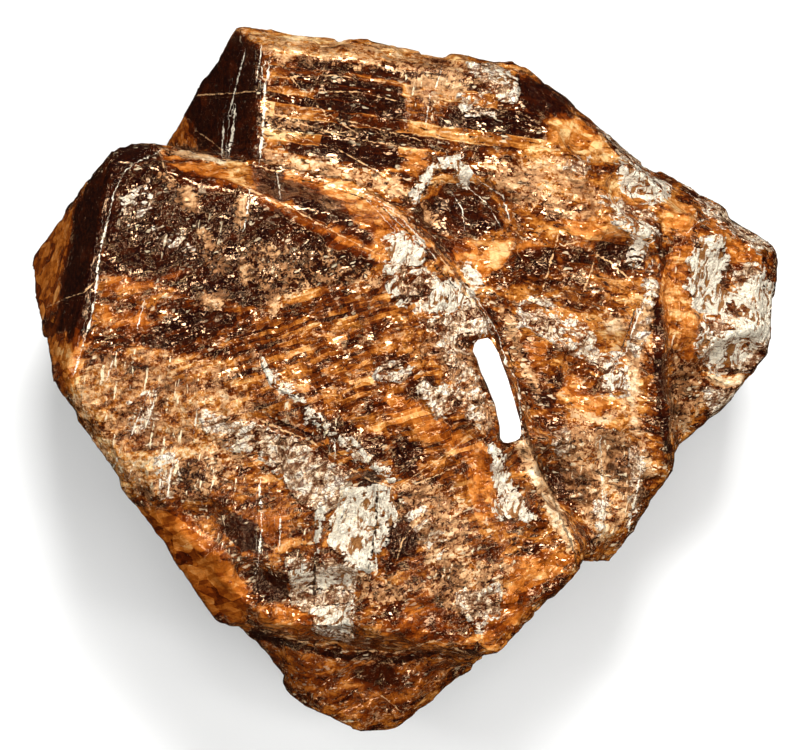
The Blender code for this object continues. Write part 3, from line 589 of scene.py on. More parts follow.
OUTLINES[Zone.STRIAE] = (
    Outline("face", 1.0, (
        (-33.9, 10.8), (-21.3, 10.8), (-10.1, 13.6), (1.1, 12.2), (5.3, 6.6), (6.7, -3.2), (10.9, -8.8),
        (9.5, -17.2), (2.5, -20.0), (-1.0, -15.3), (-7.3, -12.7), (-12.9, -8.8), (-20.6, -5.5),
        (-29.7, -3.2), (-33.9, 3.8),
    )),
    Outline("upper_left", 0.6, ((-41.7, 16.1), (-28.3, 16.9), (-22.7, 12.2), (-24.1, 8.0), (-41.7, 4.6))),
    Outline("low_left_rim", 0.35, LOW_LEFT_RIM),
    Outline("low_right", 0.4, ((-0.3, -17.2), (10.9, -17.2), (13.7, -25.6), (5.3, -29.8), (-0.3, -25.6))),
)
OUTLINES[Zone.BANDING] = (
    Outline("behind", 1.0, (
        (-19.3, 44.4), (-10.1, 44.4), (-0.3, 43.5), (8.1, 42.1), (13.7, 39.3), (19.3, 37.1), (20.7, 33.2),
        (13.7, 31.8), (3.9, 31.8), (-0.3, 29.0), (-10.1, 30.9), (-19.3, 32.1),
    )),
    Outline("top_strip", 0.5, TOP_STRIP),
    Outline("hollow_right", 0.8, (
        (22.1, 22.3), (33.3, 20.6), (34.7, 16.1), (31.6, 12.2), (23.5, 14.1), (21.6, 19.2),
    )),
    Outline("right_middle", 0.5, ((22.1, 12.2), (30.5, 10.8), (33.3, 5.2), (27.7, 3.8), (22.1, 6.6))),
)
# Where raised ribs and painted glint streaks show most.
OUTLINES[Zone.STREAKS] = (
    Outline("low_left", 1.0, (
        (-46.2, -0.4), (-40.9, 3.8), (-33.9, 3.8), (-28.3, -0.4), (-26.9, -8.8), (-28.3, -17.2),
        (-35.3, -18.6), (-40.9, -14.4), (-44.5, -7.4),
    )),
    Outline("first_end", 0.15, (
        (-38.8, 32.3), (-33.9, 31.6), (-38.9, 28.1), (-41.9, 18.5), (-42.7, 12.9), (-43.7, 5.9),
        (-45.6, -1.8), (-50.0, 6.6), (-52.6, 16.1),
    )),
    Outline("second_end", 0.2, (
        (-23.0, 48.0), (-19.6, 45.8), (-19.6, 30.7), (-24.4, 30.9), (-30.8, 37.7),
    )),
    Outline("low_middle", 0.7, (
        (-28.3, -11.6), (-14.3, -17.2), (-10.1, -25.6), (-17.1, -31.2), (-25.5, -25.6), (-29.7, -18.6),
    )),
    Outline("glare_facet", 0.8, (
        (-9.7, -15.0), (-1.0, -15.0), (-2.0, -25.6), (-7.3, -27.0), (-10.1, -22.8),
    )),
    Outline("low_right", 0.6, ((-0.3, -15.8), (16.5, -20.0), (16.5, -31.2), (8.1, -35.4), (-0.3, -28.4))),
    Outline("upper_left", 0.3, (
        (-39.5, 27.6), (-22.7, 26.2), (-14.3, 19.2), (-17.1, 10.8), (-40.9, 10.8),
    )),
    Outline("right_low", 0.7, ((22.1, -6.0), (34.7, -7.4), (34.7, -17.2), (27.7, -23.5), (22.1, -14.4))),
    Outline("top_right_band", 0.7, ((-0.3, 44.4), (9.5, 43.5), (9.0, 34.6), (1.1, 34.6))),
    Outline("offshoot_wall", 0.7, (
        (36.1, 16.1), (40.3, 19.5), (40.9, 10.8), (41.7, 4.9), (40.3, 2.1), (36.7, 5.2),
    )),
    Outline("chain", 0.7, (
        (-20.6, 3.8), (-11.5, -3.2), (-1.0, -13.0), (-1.7, -15.8), (-10.1, -10.2), (-20.4, -3.2),
    )),
)

STROKES: dict[Zone, tuple[Stroke, ...]] = {}
# Painted highlights: bright lines along edges, the strip's crease, curls and scratches, and the glint
# spikes and chains.
STROKES[Zone.GLARE] = (
    Stroke("first_edge_top", 1.0, 0.1, ((-33.5, 31.6), (-36.7, 30.0), (-38.4, 28.7), (-39.5, 26.7))),
    Stroke("first_edge", 1.5, 0.18, ((-39.8, 26.2), (-40.6, 22.7), (-41.7, 18.5), (-42.6, 12.9))),
    Stroke("first_edge_low", 1.4, 0.2, (
        (-42.1, 16.1), (-42.6, 10.8), (-43.4, 7.3), (-44.5, 3.8), (-45.4, 0.7),
    )),
    Stroke("second_edge", 1.2, 0.25, ((-18.3, 43.5), (-18.9, 40.2), (-19.0, 36.0), (-19.6, 30.1))),
    Stroke("second_line_one", 1.2, 0.12, ((-21.7, 45.2), (-22.5, 42.1), (-23.2, 39.5), (-23.8, 37.1))),
    Stroke("second_line_two", 1.3, 0.22, ((-23.0, 37.7), (-23.2, 35.1), (-23.9, 31.5))),
    Stroke("second_line_three", 1.2, 0.1, ((-24.6, 35.7), (-24.9, 30.9))),
    Stroke("second_line_four", 1.0, 0.1, ((-19.3, 46.1), (-19.9, 41.9))),
    Stroke("crust_edge", 1.3, 0.2, ((-21.0, 25.9), (-21.3, 23.4), (-21.8, 20.6))),
    Stroke("rim_tick", 1.2, 0.12, ((-17.1, 28.1), (-16.7, 25.3))),
    Stroke("chain_one", 0.8, 0.35, ((-19.2, 2.7), (-17.6, -1.0), (-14.3, -2.9))),
    Stroke("chain_two", 0.8, 0.35, ((-13.7, -3.5), (-11.5, -6.6), (-8.0, -8.8))),
    Stroke("chain_three", 0.8, 0.3, ((-7.0, -8.3), (-4.2, -11.9), (-1.0, -14.4))),
    Stroke("spike_one", 1.3, 0.16, ((-35.0, -1.8), (-36.4, -5.2), (-37.8, -8.8))),
    Stroke("spike_two", 1.3, 0.16, ((-33.9, -1.5), (-34.7, -4.6), (-35.6, -7.1))),
    Stroke("spike_three", 1.2, 0.12, ((-39.8, 2.9), (-40.9, -0.1))),
    Stroke("spike_four", 1.2, 0.16, ((-31.6, -10.5), (-32.5, -16.9))),
    Stroke("spike_five", 1.2, 0.14, ((-33.3, -11.1), (-33.6, -15.8))),
    Stroke("spike_six", 1.1, 0.12, ((-39.2, -10.5), (-40.3, -13.9))),
    Stroke("spike_seven", 1.1, 0.12, ((-37.2, -12.2), (-38.5, -15.8))),
    Stroke("spike_eight", 1.1, 0.12, ((-28.3, -4.6), (-28.8, -7.7))),
    Stroke("spike_nine", 1.1, 0.12, ((-35.8, 10.5), (-36.7, 6.6))),
    Stroke("spike_ten", 1.2, 0.24, ((-19.6, -14.8), (-19.3, -21.0), (-19.9, -27.0))),
    Stroke("spike_eleven", 1.2, 0.22, ((-16.7, -19.6), (-16.9, -24.2))),
    Stroke("spike_twelve", 1.2, 0.3, ((-11.2, -18.6), (-11.5, -24.6))),
    Stroke("spike_thirteen", 1.2, 0.24, ((-9.1, -8.8), (-9.0, -11.2))),
    Stroke("spike_fourteen", 1.2, 0.26, ((-3.5, -22.4), (-3.3, -26.6))),
    Stroke("ridge_line", 1.1, 0.2, ((35.3, 16.1), (34.2, 10.8), (32.5, 6.6), (31.6, 3.8))),
    Stroke("low_right_spike", 1.1, 0.2, ((33.6, -13.0), (32.8, -17.2), (31.9, -21.4))),
    Stroke("tan_spike", 1.1, 0.16, ((28.0, -8.8), (28.3, -17.2), (27.7, -21.4))),
    Stroke("strip_crease", 1.2, 0.08, ((9.0, 13.0), (12.0, 9.1), (13.7, 6.0), (14.6, 2.4), (16.5, -0.4))),
    Stroke("strip_crease_low", 1.1, 0.08, ((16.5, -0.4), (16.9, -6.0), (17.4, -9.1))),
    Stroke("rim_scratch_one", 1.0, 0.1, ((-4.8, 24.8), (-2.5, 22.5), (-0.6, 20.3))),
    Stroke("rim_scratch_two", 1.0, 0.1, ((-3.6, 25.1), (-1.4, 22.8), (0.3, 21.1))),
    Stroke("scoop_hair_one", 0.8, 0.09, ((9.5, 26.5), (12.3, 24.2), (14.0, 21.1))),
    Stroke("scoop_hair_two", 0.8, 0.09, ((7.6, 25.3), (8.7, 23.4), (9.0, 20.9))),
    Stroke("scoop_hair_three", 0.8, 0.09, ((10.9, 27.6), (14.3, 25.3), (15.4, 21.7))),
    Stroke("offshoot_crack", 1.0, 0.1, ((40.3, 20.3), (41.7, 21.7), (43.4, 22.3))),
    Stroke("top_streak_one", 1.0, 0.12, ((5.9, 43.5), (4.8, 39.9))),
    Stroke("top_streak_two", 1.0, 0.12, ((4.2, 39.3), (3.6, 35.4))),
    Stroke("rim_upper_line", 1.1, 0.12, (
        (-10.1, 27.0), (-5.9, 26.2), (-1.4, 23.7), (2.5, 19.7), (4.8, 16.7),
    )),
)
STROKES[Zone.STAIN] = (
    Stroke("silver_ridge", 1.5, 0.22, (
        (-20.6, -5.5), (-16.5, -7.4), (-12.6, -8.8), (-7.8, -12.2), (-4.2, -14.4), (-0.6, -15.5),
    )),
    Stroke("strip_line", 1.3, 0.2, ((17.4, -8.8), (19.3, -13.0), (22.1, -18.6), (24.9, -23.9))),
    Stroke("contact_edge_line", 1.3, 0.22, (
        (-33.3, 31.8), (-24.1, 30.4), (-16.5, 28.7), (-8.7, 27.0), (-2.5, 24.8), (2.5, 20.6), (6.2, 16.1),
    )),
    Stroke("crease_edge", 1.2, 0.25, ((6.2, 16.1), (9.0, 11.9), (11.2, 9.1))),
    Stroke("foot_boundary", 1.2, 0.14, (
        (-20.7, -34.9), (-14.3, -36.8), (-7.3, -38.2), (-0.3, -38.5), (4.8, -36.8), (10.4, -38.8),
    )),
    Stroke("slab_line_one", 1.3, 0.12, ((-15.7, 42.4), (-12.0, 38.2), (-8.1, 35.4), (-4.2, 32.9))),
    Stroke("slab_line_two", 1.3, 0.12, ((-18.5, 37.1), (-12.9, 35.1), (-7.3, 33.5), (-0.6, 32.3))),
    Stroke("slab_line_three", 1.2, 0.1, ((-14.3, 39.9), (-5.9, 39.9), (1.1, 38.2))),
    Stroke("slab_line_four", 1.2, 0.1, ((-11.5, 36.8), (-4.5, 35.1), (2.5, 33.2))),
    Stroke("slab_line_five", 1.2, 0.1, ((-19.3, 33.7), (-14.3, 33.5), (-8.7, 31.8), (-2.5, 28.4))),
    Stroke("slab_line_six", 1.1, 0.1, ((-17.1, 41.9), (-8.7, 42.1), (-0.3, 41.0))),
    Stroke("first_end_crack", 1.3, 0.1, ((-49.0, 9.9), (-46.5, 11.1), (-44.2, 11.8), (-42.7, 13.3))),
    Stroke("second_end_crack", 1.1, 0.1, ((-28.3, 34.3), (-26.3, 32.9), (-24.6, 31.5))),
    Stroke("second_end_vein", 1.0, 0.1, ((-28.8, 39.3), (-24.6, 39.6), (-20.2, 39.9))),
    Stroke("rim_edge_line", 1.3, 0.14, ((-21.8, 26.5), (-15.7, 23.9), (-8.1, 19.7), (-2.5, 16.9))),
    Stroke("rim_facet_line", 1.2, 0.1, ((-33.6, 31.5), (-32.8, 28.7), (-31.1, 27.3))),
    Stroke("hollow_line_one", 1.2, 0.12, ((22.1, 18.3), (27.7, 19.5), (31.9, 20.9))),
    Stroke("hollow_line_two", 1.2, 0.12, ((26.3, 17.8), (29.4, 16.1), (32.8, 13.0))),
    Stroke("hollow_line_three", 1.2, 0.12, ((10.9, 25.3), (15.1, 21.7), (17.1, 19.2))),
    Stroke("rising_line", 1.2, 0.2, ((22.1, 19.7), (21.0, 16.1), (19.9, 11.9))),
    Stroke("rising_line_two", 1.1, 0.16, ((27.7, 17.8), (26.3, 13.6), (24.9, 10.8))),
    Stroke("scoop_rim_line", 1.2, 0.16, ((23.5, -4.3), (27.2, -6.0), (31.1, -4.6), (33.3, -1.8))),
    Stroke("lower_left_crack_one", 1.0, 0.08, ((-27.2, -25.1), (-23.4, -21.4))),
    Stroke("lower_left_crack_two", 1.0, 0.08, ((-30.2, -23.5), (-24.8, -21.4))),
    Stroke("lobe_crack", 1.2, 0.12, ((-3.9, -43.8), (-2.2, -44.7), (-0.3, -46.3))),
    Stroke("low_line_one", 1.1, 0.1, ((-0.3, -15.3), (5.3, -11.6), (10.4, -7.7))),
    Stroke("low_line_two", 1.1, 0.1, ((-0.8, -16.1), (4.8, -13.9), (10.6, -11.1))),
    Stroke("low_line_three", 1.1, 0.1, ((3.9, -18.3), (0.3, -22.8), (-0.6, -25.9))),
)
# Painted shadows and shade: strip_shadow beside the paper, the crease, foot_shadow, ridge_shadow,
# contact_shadow between the crystals and ridge_dark beside a lit ridge. The cracks and gaps are dark
# joints.
STROKES[Zone.DARK] = (
    Stroke("strip_shadow", 1.4, 0.12, (
        (11.2, 10.8), (13.7, 7.1), (15.1, 3.5), (16.8, -1.0), (17.4, -6.6), (17.9, -9.7),
    )),
    Stroke("crease", 1.5, 0.35, (
        (35.8, 21.1), (36.7, 16.1), (35.6, 10.8), (36.1, 3.8), (36.4, -3.2), (37.5, -10.2),
    )),
    Stroke("foot_shadow", 1.4, 0.3, (
        (-20.7, -35.7), (-14.3, -37.7), (-7.3, -39.1), (-0.3, -39.6), (5.3, -38.2),
    )),
    Stroke("ridge_shadow", 1.2, 0.2, ((-19.0, -5.2), (-12.6, -8.0), (-7.6, -11.3), (-2.5, -14.1))),
    Stroke("glare_crack_one", 1.5, 0.34, ((-4.2, -15.5), (-4.5, -20.0), (-5.3, -25.6))),
    Stroke("glare_crack_two", 1.5, 0.28, ((-3.1, -15.5), (-3.4, -21.4), (-4.2, -26.2))),
    Stroke("glare_crack_three", 1.3, 0.2, ((-7.0, -17.2), (-8.4, -20.0))),
    Stroke("block_gap_one", 1.5, 0.24, ((-11.9, -25.3), (-12.0, -32.6))),
    Stroke("block_gap_two", 1.4, 0.22, ((-15.4, -29.3), (-6.7, -29.8))),
    Stroke("block_gap_three", 1.3, 0.18, ((-12.3, -32.1), (-7.0, -31.5))),
    Stroke("facet_crack_one", 1.4, 0.08, ((33.3, 29.3), (31.6, 26.7), (33.0, 23.9))),
    Stroke("facet_crack_two", 1.4, 0.08, ((35.0, 28.1), (36.1, 26.2), (35.3, 23.9))),
    Stroke("shoulder_dark", 1.2, 0.14, ((4.2, 16.1), (7.0, 13.3), (9.5, 10.8))),
    Stroke("slab_gap", 1.3, 0.12, ((-5.6, 40.7), (-2.5, 40.5))),
    Stroke("contact_shadow", 1.2, 0.14, (
        (-20.4, 29.0), (-10.1, 26.7), (-3.1, 24.2), (1.7, 19.7), (5.9, 15.0),
    )),
    Stroke("ridge_dark", 1.2, 0.14, ((33.3, 10.8), (31.4, 5.2), (30.0, 1.5))),
)

# Where the front crystal ends and the one behind begins, as seen from above.
CONTACT: Corners = (
    (-60.0, 32.6), (-34.0, 32.6), (-20.0, 30.2), (-6.0, 27.2), (2.0, 22.0), (8.0, 14.5),
    (12.0, 8.0), (16.0, -1.0), (18.5, -10.0), (24.6, -25.0), (26.0, -60.0),
)

# How strongly each zone shows on the sides and the back, where no place was noted.
SIDE_SHARES = {Zone.DARK: 0.8, Zone.AMBER: 0.9, Zone.STAIN: 0.8, Zone.YELLOW: 0.5}
OTHER_SIDE_SHARE = 0.35

# Large odd numbers that scatter whole-number cells.
CELL_FACTORS = (374761393, 668265263, 2147483647)
SEED_FACTOR = 1442695041
MIX_FACTOR = 1274126177
LOW_BITS = 0xFFFFFFFF


def lattice_values(cell: np.ndarray, seed: int, count: int) -> np.ndarray:
    """Repeatable values from 0 to 1 for whole-number cells.

    Args:
        cell: One row of three whole numbers for each point.
        seed: Picks another set of values.
        count: How many values each cell gets.

    Returns:
        One row of count values for each point.
    """
    mixed = sum(cell[:, axis] * factor for axis, factor in enumerate(CELL_FACTORS))
    mixed = (mixed + seed * SEED_FACTOR) & LOW_BITS
    values = []
    for _ in range(count):
        mixed = (mixed ^ (mixed >> 13)) * MIX_FACTOR & LOW_BITS
        mixed = (mixed ^ (mixed >> 16)) & LOW_BITS
        values.append(mixed / LOW_BITS)
    return np.stack(values, axis=1)


def chips(points: np.ndarray, size: float, seed: int, step: float = 0.8) -> np.ndarray:
    """A faceted crinkle: each cell around a scattered point is a flat chip with its own tilt.

    Args:
        points: Places in millimetres.
        size: Cell size in millimetres.
        seed: Picks another pattern.
        step: The share of a chip's height that is a step and not a tilt.

    Returns:
        Heights from -1 to 1.
    """
    base = np.floor(points / size).astype(np.int64)
    nearest = np.full(len(points), np.inf)
    height = np.zeros(len(points))
    for offset in np.ndindex(3, 3, 3):
        cell = base + np.array(offset) - 1
        values = lattice_values(cell, seed, 7)
        gap = points - (cell + values[:, 0:3]) * size
        distance = np.einsum("ij,ij->i", gap, gap)
        tilt = values[:, 3:6] * 2.0 - 1.0
        chip = np.einsum("ij,ij->i", gap, tilt) / size + (values[:, 6] - 0.5) * step
        closer = distance < nearest
        nearest = np.where(closer, distance, nearest)
        height = np.where(closer, chip, height)
    return np.clip(height, -1.0, 1.0)


def drift(points: np.ndarray, size: float, seed: int) -> np.ndarray:
    """Soft noise that changes over about size millimetres.

    Args:
        points: Places in millimetres.
        size: Grid size in millimetres.
        seed: Picks another pattern.

    Returns:
        Values from 0 to 1.
    """
    scaled = points / size
    base = np.floor(scaled).astype(np.int64)
    part = smooth_step(0.0, 1.0, scaled - base)
    total = np.zeros(len(points))
    for offset in np.ndindex(2, 2, 2):
        corner = np.array(offset)
        weight = np.prod(np.where(corner == 1, part, 1.0 - part), axis=1)
        total += weight * lattice_values(base + corner, seed, 1)[:, 0]
    return total


def smooth_step(low: float, high: float, value: np.ndarray) -> np.ndarray:
    """Eases from 0 at low to 1 at high."""
    share = np.clip((value - low) / (high - low), 0.0, 1.0)
    return share * share * (3.0 - 2.0 * share)


@dataclass(frozen=True)
class Layout:
    """Where the middle of the stone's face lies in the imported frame.

    The strip of paper is the landmark: its middle is known in both.
    """

    label_centre: tuple[float, float, float] = (13.3, -1.9, 39.6)
    label_facing: tuple[float, float, float] = (0.43, 0.18, 0.885)
    label_turn: float = 14.0
    label_thickness: float = 0.4

    def shift(self) -> Vector:
        """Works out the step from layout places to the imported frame.

        Returns:
            The step, in millimetres.
        """
        low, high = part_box("specimen_label")
        facing = Vector(self.label_facing).normalized()
        middle = Vector(self.label_centre) + facing * self.label_thickness / 2.0
        return (low + high) / 2.0 / MM - middle

    def label_matrix(self) -> Matrix:
        """Works out the strip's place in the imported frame.

        Returns:
            A matrix in millimetres, with the strip's length along Y.
        """
        tilt = Vector((0.0, 0.0, 1.0)).rotation_difference(Vector(self.label_facing))
        turn = Matrix.Rotation(math.radians(self.label_turn), 4, "Z")
        place = Matrix.Translation(Vector(self.label_centre) + self.shift())
        return place @ tilt.to_matrix().to_4x4() @ turn


class Value:
    """A node's output that sums can be done with. Each sum adds one node."""

    def __init__(self, wiring: "Wiring", socket: bpy.types.NodeSocket) -> None:
        """Takes an output and the wiring that it is in."""
        self.wiring = wiring
        self.socket = socket

    def __add__(self, other: "Amount") -> "Value":
        """Adds other."""
        return self.wiring.math("ADD", self, other)

    def __sub__(self, other: "Amount") -> "Value":
        """Takes other away."""
        return self.wiring.math("SUBTRACT", self, other)

    def __mul__(self, other: "Amount") -> "Value":
        """Multiplies by other."""
        return self.wiring.math("MULTIPLY", self, other)

    def __truediv__(self, other: "Amount") -> "Value":
        """Divides by other."""
        return self.wiring.math("DIVIDE", self, other)

    def __abs__(self) -> "Value":
        """Drops the sign."""
        return self.wiring.math("ABSOLUTE", self)

    def times_plus(self, factor: "Amount", extra: "Amount") -> "Value":
        """Multiplies by factor, then adds extra."""
        return self.wiring.math("MULTIPLY_ADD", self, factor, extra)

    def most(self, other: "Amount") -> "Value":
        """Gives the larger of the two."""
        return self.wiring.math("MAXIMUM", self, other)

    def calmed(self, amount: float) -> "Value":
        """Gives 1 outside a mask and 1 less amount inside it."""
        return self.times_plus(-amount, 1.0)

    def span(self, low: float, high: float, to_low: float = 0.0, to_high: float = 1.0) -> "Value":
        """Eases from one amount to another over a stretch of the value.

        Args:
            low: Where the stretch starts.
            high: Where it ends.
            to_low: What is given at low and beyond.
            to_high: What is given at high and beyond.

        Returns:
            The eased value.
        """
        inputs = {"Value": self, "From Min": low, "From Max": high, "To Min": to_low, "To Max": to_high}
        return self.wiring.read("ShaderNodeMapRange", inputs, interpolation_type="SMOOTHSTEP")["Result"]


Amount = Union[Value, float, tuple]


class Wiring:
    """Adds and joins shader nodes in one node tree."""

    def __init__(self, tree: bpy.types.NodeTree) -> None:
        """Takes the node tree to work in."""
        self.tree = tree

    def feed(self, node: bpy.types.Node, inputs: dict[Union[str, int], Amount]) -> None:
        """Joins or sets a node's inputs.

        Args:
            node: The node.
            inputs: What goes into each input, by its name or number.
        """
        for name, value in inputs.items():
            socket = node.inputs[name]
            if isinstance(value, Value):
                self.tree.links.new(value.socket, socket)
            else:
                socket.default_value = (*value, 1.0) if socket.type == "RGBA" else value

    def add(self, kind: str, inputs: dict, **settings: object) -> bpy.types.Node:
        """Adds a node.

        Args:
            kind: The node's type name.
            inputs: What goes into its inputs.
            **settings: Properties of the node.

        Returns:
            The new node.
        """
        node = self.tree.nodes.new(kind)
        for name, value in settings.items():
            setattr(node, name, value)
        self.feed(node, inputs)
        return node

    def read(self, kind: str, inputs: dict, **settings: object) -> dict[str, Value]:
        """Adds a node as add does, and gives its outputs by name."""
        node = self.add(kind, inputs, **settings)
        return {socket.name: Value(self, socket) for socket in node.outputs}

    def math(self, operation: str, *parts: Amount) -> Value:
        """Works out one sum of up to three parts."""
        return self.read("ShaderNodeMath", dict(enumerate(parts)), operation=operation)["Value"]

    def vector(self, operation: str, first: Amount, second: Amount) -> dict[str, Value]:
        """Works out one sum on places, and gives it as a Vector or a Value."""
        place = "Scale" if operation == "SCALE" else 1
        return self.read("ShaderNodeVectorMath", {0: first, place: second}, operation=operation)

    def blend(self, share: Amount, first: Amount, second: Amount, mode: str = "MIX") -> Value:
        """Mixes two colours."""
        inputs = {"Factor": share, 6: first, 7: second}
        return Value(self, self.add("ShaderNodeMix", inputs, data_type="RGBA", blend_type=mode).outputs[2])

    def ramp(self, scale: Scale, level: Value) -> Value:
        """Reads a scale of colours at a level.

        Args:
            scale: Places from 0 to 1 with their colours.
            level: Where to read it.

        Returns:
            The colour.
        """
        node = self.add("ShaderNodeValToRGB", {0: level})
        elements = node.color_ramp.elements
        while len(elements) < len(scale):
            elements.new(0.5)
        for element, (position, colour) in zip(elements, scale):
            element.position = position
            element.color = (*colour, 1.0)
        return Value(self, node.outputs["Color"])

    def attribute(self, name: str) -> Value:
        """Reads a mesh attribute."""
        return self.read("ShaderNodeAttribute", {}, attribute_name=name)["Fac"]

    def place(self) -> Value:
        """Gives Object coordinates in millimetres."""
        coordinates = self.read("ShaderNodeTexCoord", {})
        return self.vector("SCALE", coordinates["Object"], 1.0 / MM)["Vector"]

    def noise(
        self,
        place: Value,
        scale: Amount,
        detail: float = 4.0,
        rough: float = 0.6,
        warp: float = 0.0,
        output: str = "Fac",
    ) -> Value:
        """Adds a noise texture.

        Args:
            place: Where to read it.
            scale: How fine it is, per millimetre.
            detail: How many finer layers it has.
            rough: How strong the finer layers are.
            warp: How much it is bent.
            output: Fac for a value or Color for a colour.

        Returns:
            The noise, from 0 to 1.
        """
        shape = {"Scale": scale, "Detail": detail, "Roughness": rough, "Distortion": warp}
        return self.read("ShaderNodeTexNoise", {"Vector": place, **shape})[output]

    def turned(self, place: Value, turn: float, squeeze: float = 1.0) -> Value:
        """Turns a place about Z, then squeezes it along X.

        Args:
            place: The place.
            turn: The turn, in degrees.
            squeeze: What X is multiplied by after the turn.

        Returns:
            The turned place.
        """
        spin = {"Vector": place, "Rotation": (0.0, 0.0, math.radians(turn))}
        spun = self.read("ShaderNodeMapping", spin)["Vector"]
        return self.vector("MULTIPLY", spun, (squeeze, 1.0, 1.0))["Vector"]

    def swung(self, *parts: tuple[Value, float]) -> Value:
        """Adds patterns up, each swung about its middle.

        Args:
            *parts: Patterns from 0 to 1, each with its amount.

        Returns:
            The sum, which is 0 where all the patterns are 0.5.
        """
        total = -0.5 * sum(amount for _, amount in parts)
        for pattern, amount in parts:
            total = pattern.times_plus(amount, total)
        return total

    def group(self, tree: bpy.types.NodeTree, **inputs: Amount) -> dict[str, Value]:
        """Places a node group and gives its outputs by name."""
        return self.read("ShaderNodeGroup", inputs, node_tree=tree)

    def bump(self, height: Value) -> Value:
        """Turns a height in millimetres into a normal."""
        return self.read("ShaderNodeBump", {"Strength": 1.0, "Distance": MM, "Height": height})["Normal"]


def new_material(name: str) -> tuple[bpy.types.Material, Wiring, bpy.types.Node]:
    """Starts a material.

    Args:
        name: Its name.

    Returns:
        The material, its wiring and its shader.
    """
    material = bpy.data.materials.new(name)
    material.use_nodes = True
    return material, Wiring(material.node_tree), material.node_tree.nodes["Principled BSDF"]


class EffectGroups:
    """The node groups that the finishes share. Places go in as millimetres."""

    def __init__(self) -> None:
        """Builds each group once."""
        self.chips = self.build_chips()
        self.cracks = self.build_cracks()
        self.fibres = self.build_fibres()
        self.growth = self.build_growth()

    @staticmethod
    def start(name: str, **inputs: float) -> tuple[Wiring, dict[str, Value]]:
        """Opens a new group.

        Args:
            name: The group's name.
            **inputs: Its value inputs and what they are when nothing feeds them.

        Returns:
            The group's wiring, and its inputs by name.
        """
        tree = bpy.data.node_groups.new(name, "ShaderNodeTree")
        tree.interface.new_socket("Place", in_out="INPUT", socket_type="NodeSocketVector")
        for label, value in inputs.items():
            socket = tree.interface.new_socket(label, in_out="INPUT", socket_type="NodeSocketFloat")
            socket.default_value = value
        wiring = Wiring(tree)
        return wiring, wiring.read("NodeGroupInput", {})

    @staticmethod
    def finish(wiring: Wiring, **outputs: Value) -> bpy.types.NodeTree:
        """Closes a group.

        Args:
            wiring: The group's wiring.
            **outputs: What it puts out, by name.

        Returns:
            The group.
        """
        for label in outputs:
            wiring.tree.interface.new_socket(label, in_out="OUTPUT", socket_type="NodeSocketFloat")
        wiring.add("NodeGroupOutput", outputs)
        return wiring.tree

    def build_chips(self) -> bpy.types.NodeTree:
        """Builds small flat chips, each with its own tilt and tone.

        Returns:
            The group.
        """
        wiring, given = self.start("chipped_surface", Density=1.0)
        place, density = given["Place"], given["Density"]
        cells = wiring.read("ShaderNodeTexVoronoi", {"Vector": place, "Scale": density})
        scaled = wiring.vector("SCALE", place, density)["Vector"]
        middle = wiring.vector("SCALE", cells["Position"], density)["Vector"]
        gap = wiring.vector("SUBTRACT", scaled, middle)["Vector"]
        tilt = wiring.vector("SUBTRACT", cells["Color"], (0.5, 0.5, 0.5))["Vector"]
        height = wiring.vector("DOT_PRODUCT", gap, tilt)["Value"]
        drawn = wiring.read("ShaderNodeSeparateColor", {0: cells["Color"]})
        return self.finish(wiring, Height=height, Tone=drawn["Red"])

    def build_cracks(self) -> bpy.types.NodeTree:
        """Builds thin lines that come and go, where a soft noise passes its middle value.

        Returns:
            The group.
        """
        wiring, given = self.start("crinkle_lines", Density=0.8, Width=0.03)
        fold = wiring.noise(given["Place"], given["Density"], 2.0, 0.55, 0.3)
        near = abs(fold - 0.5) / given["Width"]
        return self.finish(wiring, Line=near.span(1.0, 0.2))

    def build_fibres(self) -> bpy.types.NodeTree:
        """Builds streaky grain along the place's X, with a sharper Streak where it peaks.

        Returns:
            The group.
        """
        wiring, given = self.start("streaky_grain", Density=1.0, Stretch=0.12)
        stretch = wiring.read("ShaderNodeCombineXYZ", {0: given["Stretch"], 1: 1.0, 2: 1.0})["Vector"]
        stretched = wiring.vector("MULTIPLY", given["Place"], stretch)["Vector"]
        grain = wiring.noise(stretched, given["Density"], 3.0, 0.62)
        return self.finish(wiring, Grain=grain, Streak=grain.span(0.57, 0.68))

    def build_growth(self) -> bpy.types.NodeTree:
        """Builds straight growth bands along the place's X, broken into bricks of their own tone.

        Returns:
            The group.
        """
        wiring, given = self.start("growth_bands", Density=1.0, Length=0.25)
        axes = wiring.read("ShaderNodeSeparateXYZ", {0: given["Place"]})
        across = axes["Y"] * given["Density"]
        bands = self.rows(wiring, across, "F1")
        edge = self.rows(wiring, across, "DISTANCE_TO_EDGE")
        drawn = wiring.read("ShaderNodeSeparateColor", {0: bands["Color"]})
        along = axes["X"].times_plus(given["Length"], drawn["Green"] * 37.0)
        bricks = self.rows(wiring, along, "F1")
        step = (across - bands["W"]) / given["Density"]
        return self.finish(
            wiring,
            Band=drawn["Red"],
            Brick=wiring.read("ShaderNodeSeparateColor", {0: bricks["Color"]})["Red"],
            Line=edge["Distance"].span(0.12, 0.02),
            Height=step * (drawn["Blue"] - 0.5),
            Step=step,
        )

    @staticmethod
    def rows(wiring: Wiring, along: Value, feature: str) -> dict[str, Value]:
        """Cuts a length into uneven pieces."""
        inputs = {"W": along, "Scale": 1.0}
        return wiring.read("ShaderNodeTexVoronoi", inputs, feature=feature, voronoi_dimensions="1D")


@dataclass(frozen=True)
class Edge:
    """How a zone's edge breaks up: how far each pattern shifts it, and how soft it is."""

    softness: float
    ragged: float
    angular: float = 0.0
    flecks: float = 0.0


@dataclass(frozen=True)
class Bands:
    """One set of growth bands: its turn in degrees, bands and bricks per millimetre."""

    turn: float
    density: float
    length: float


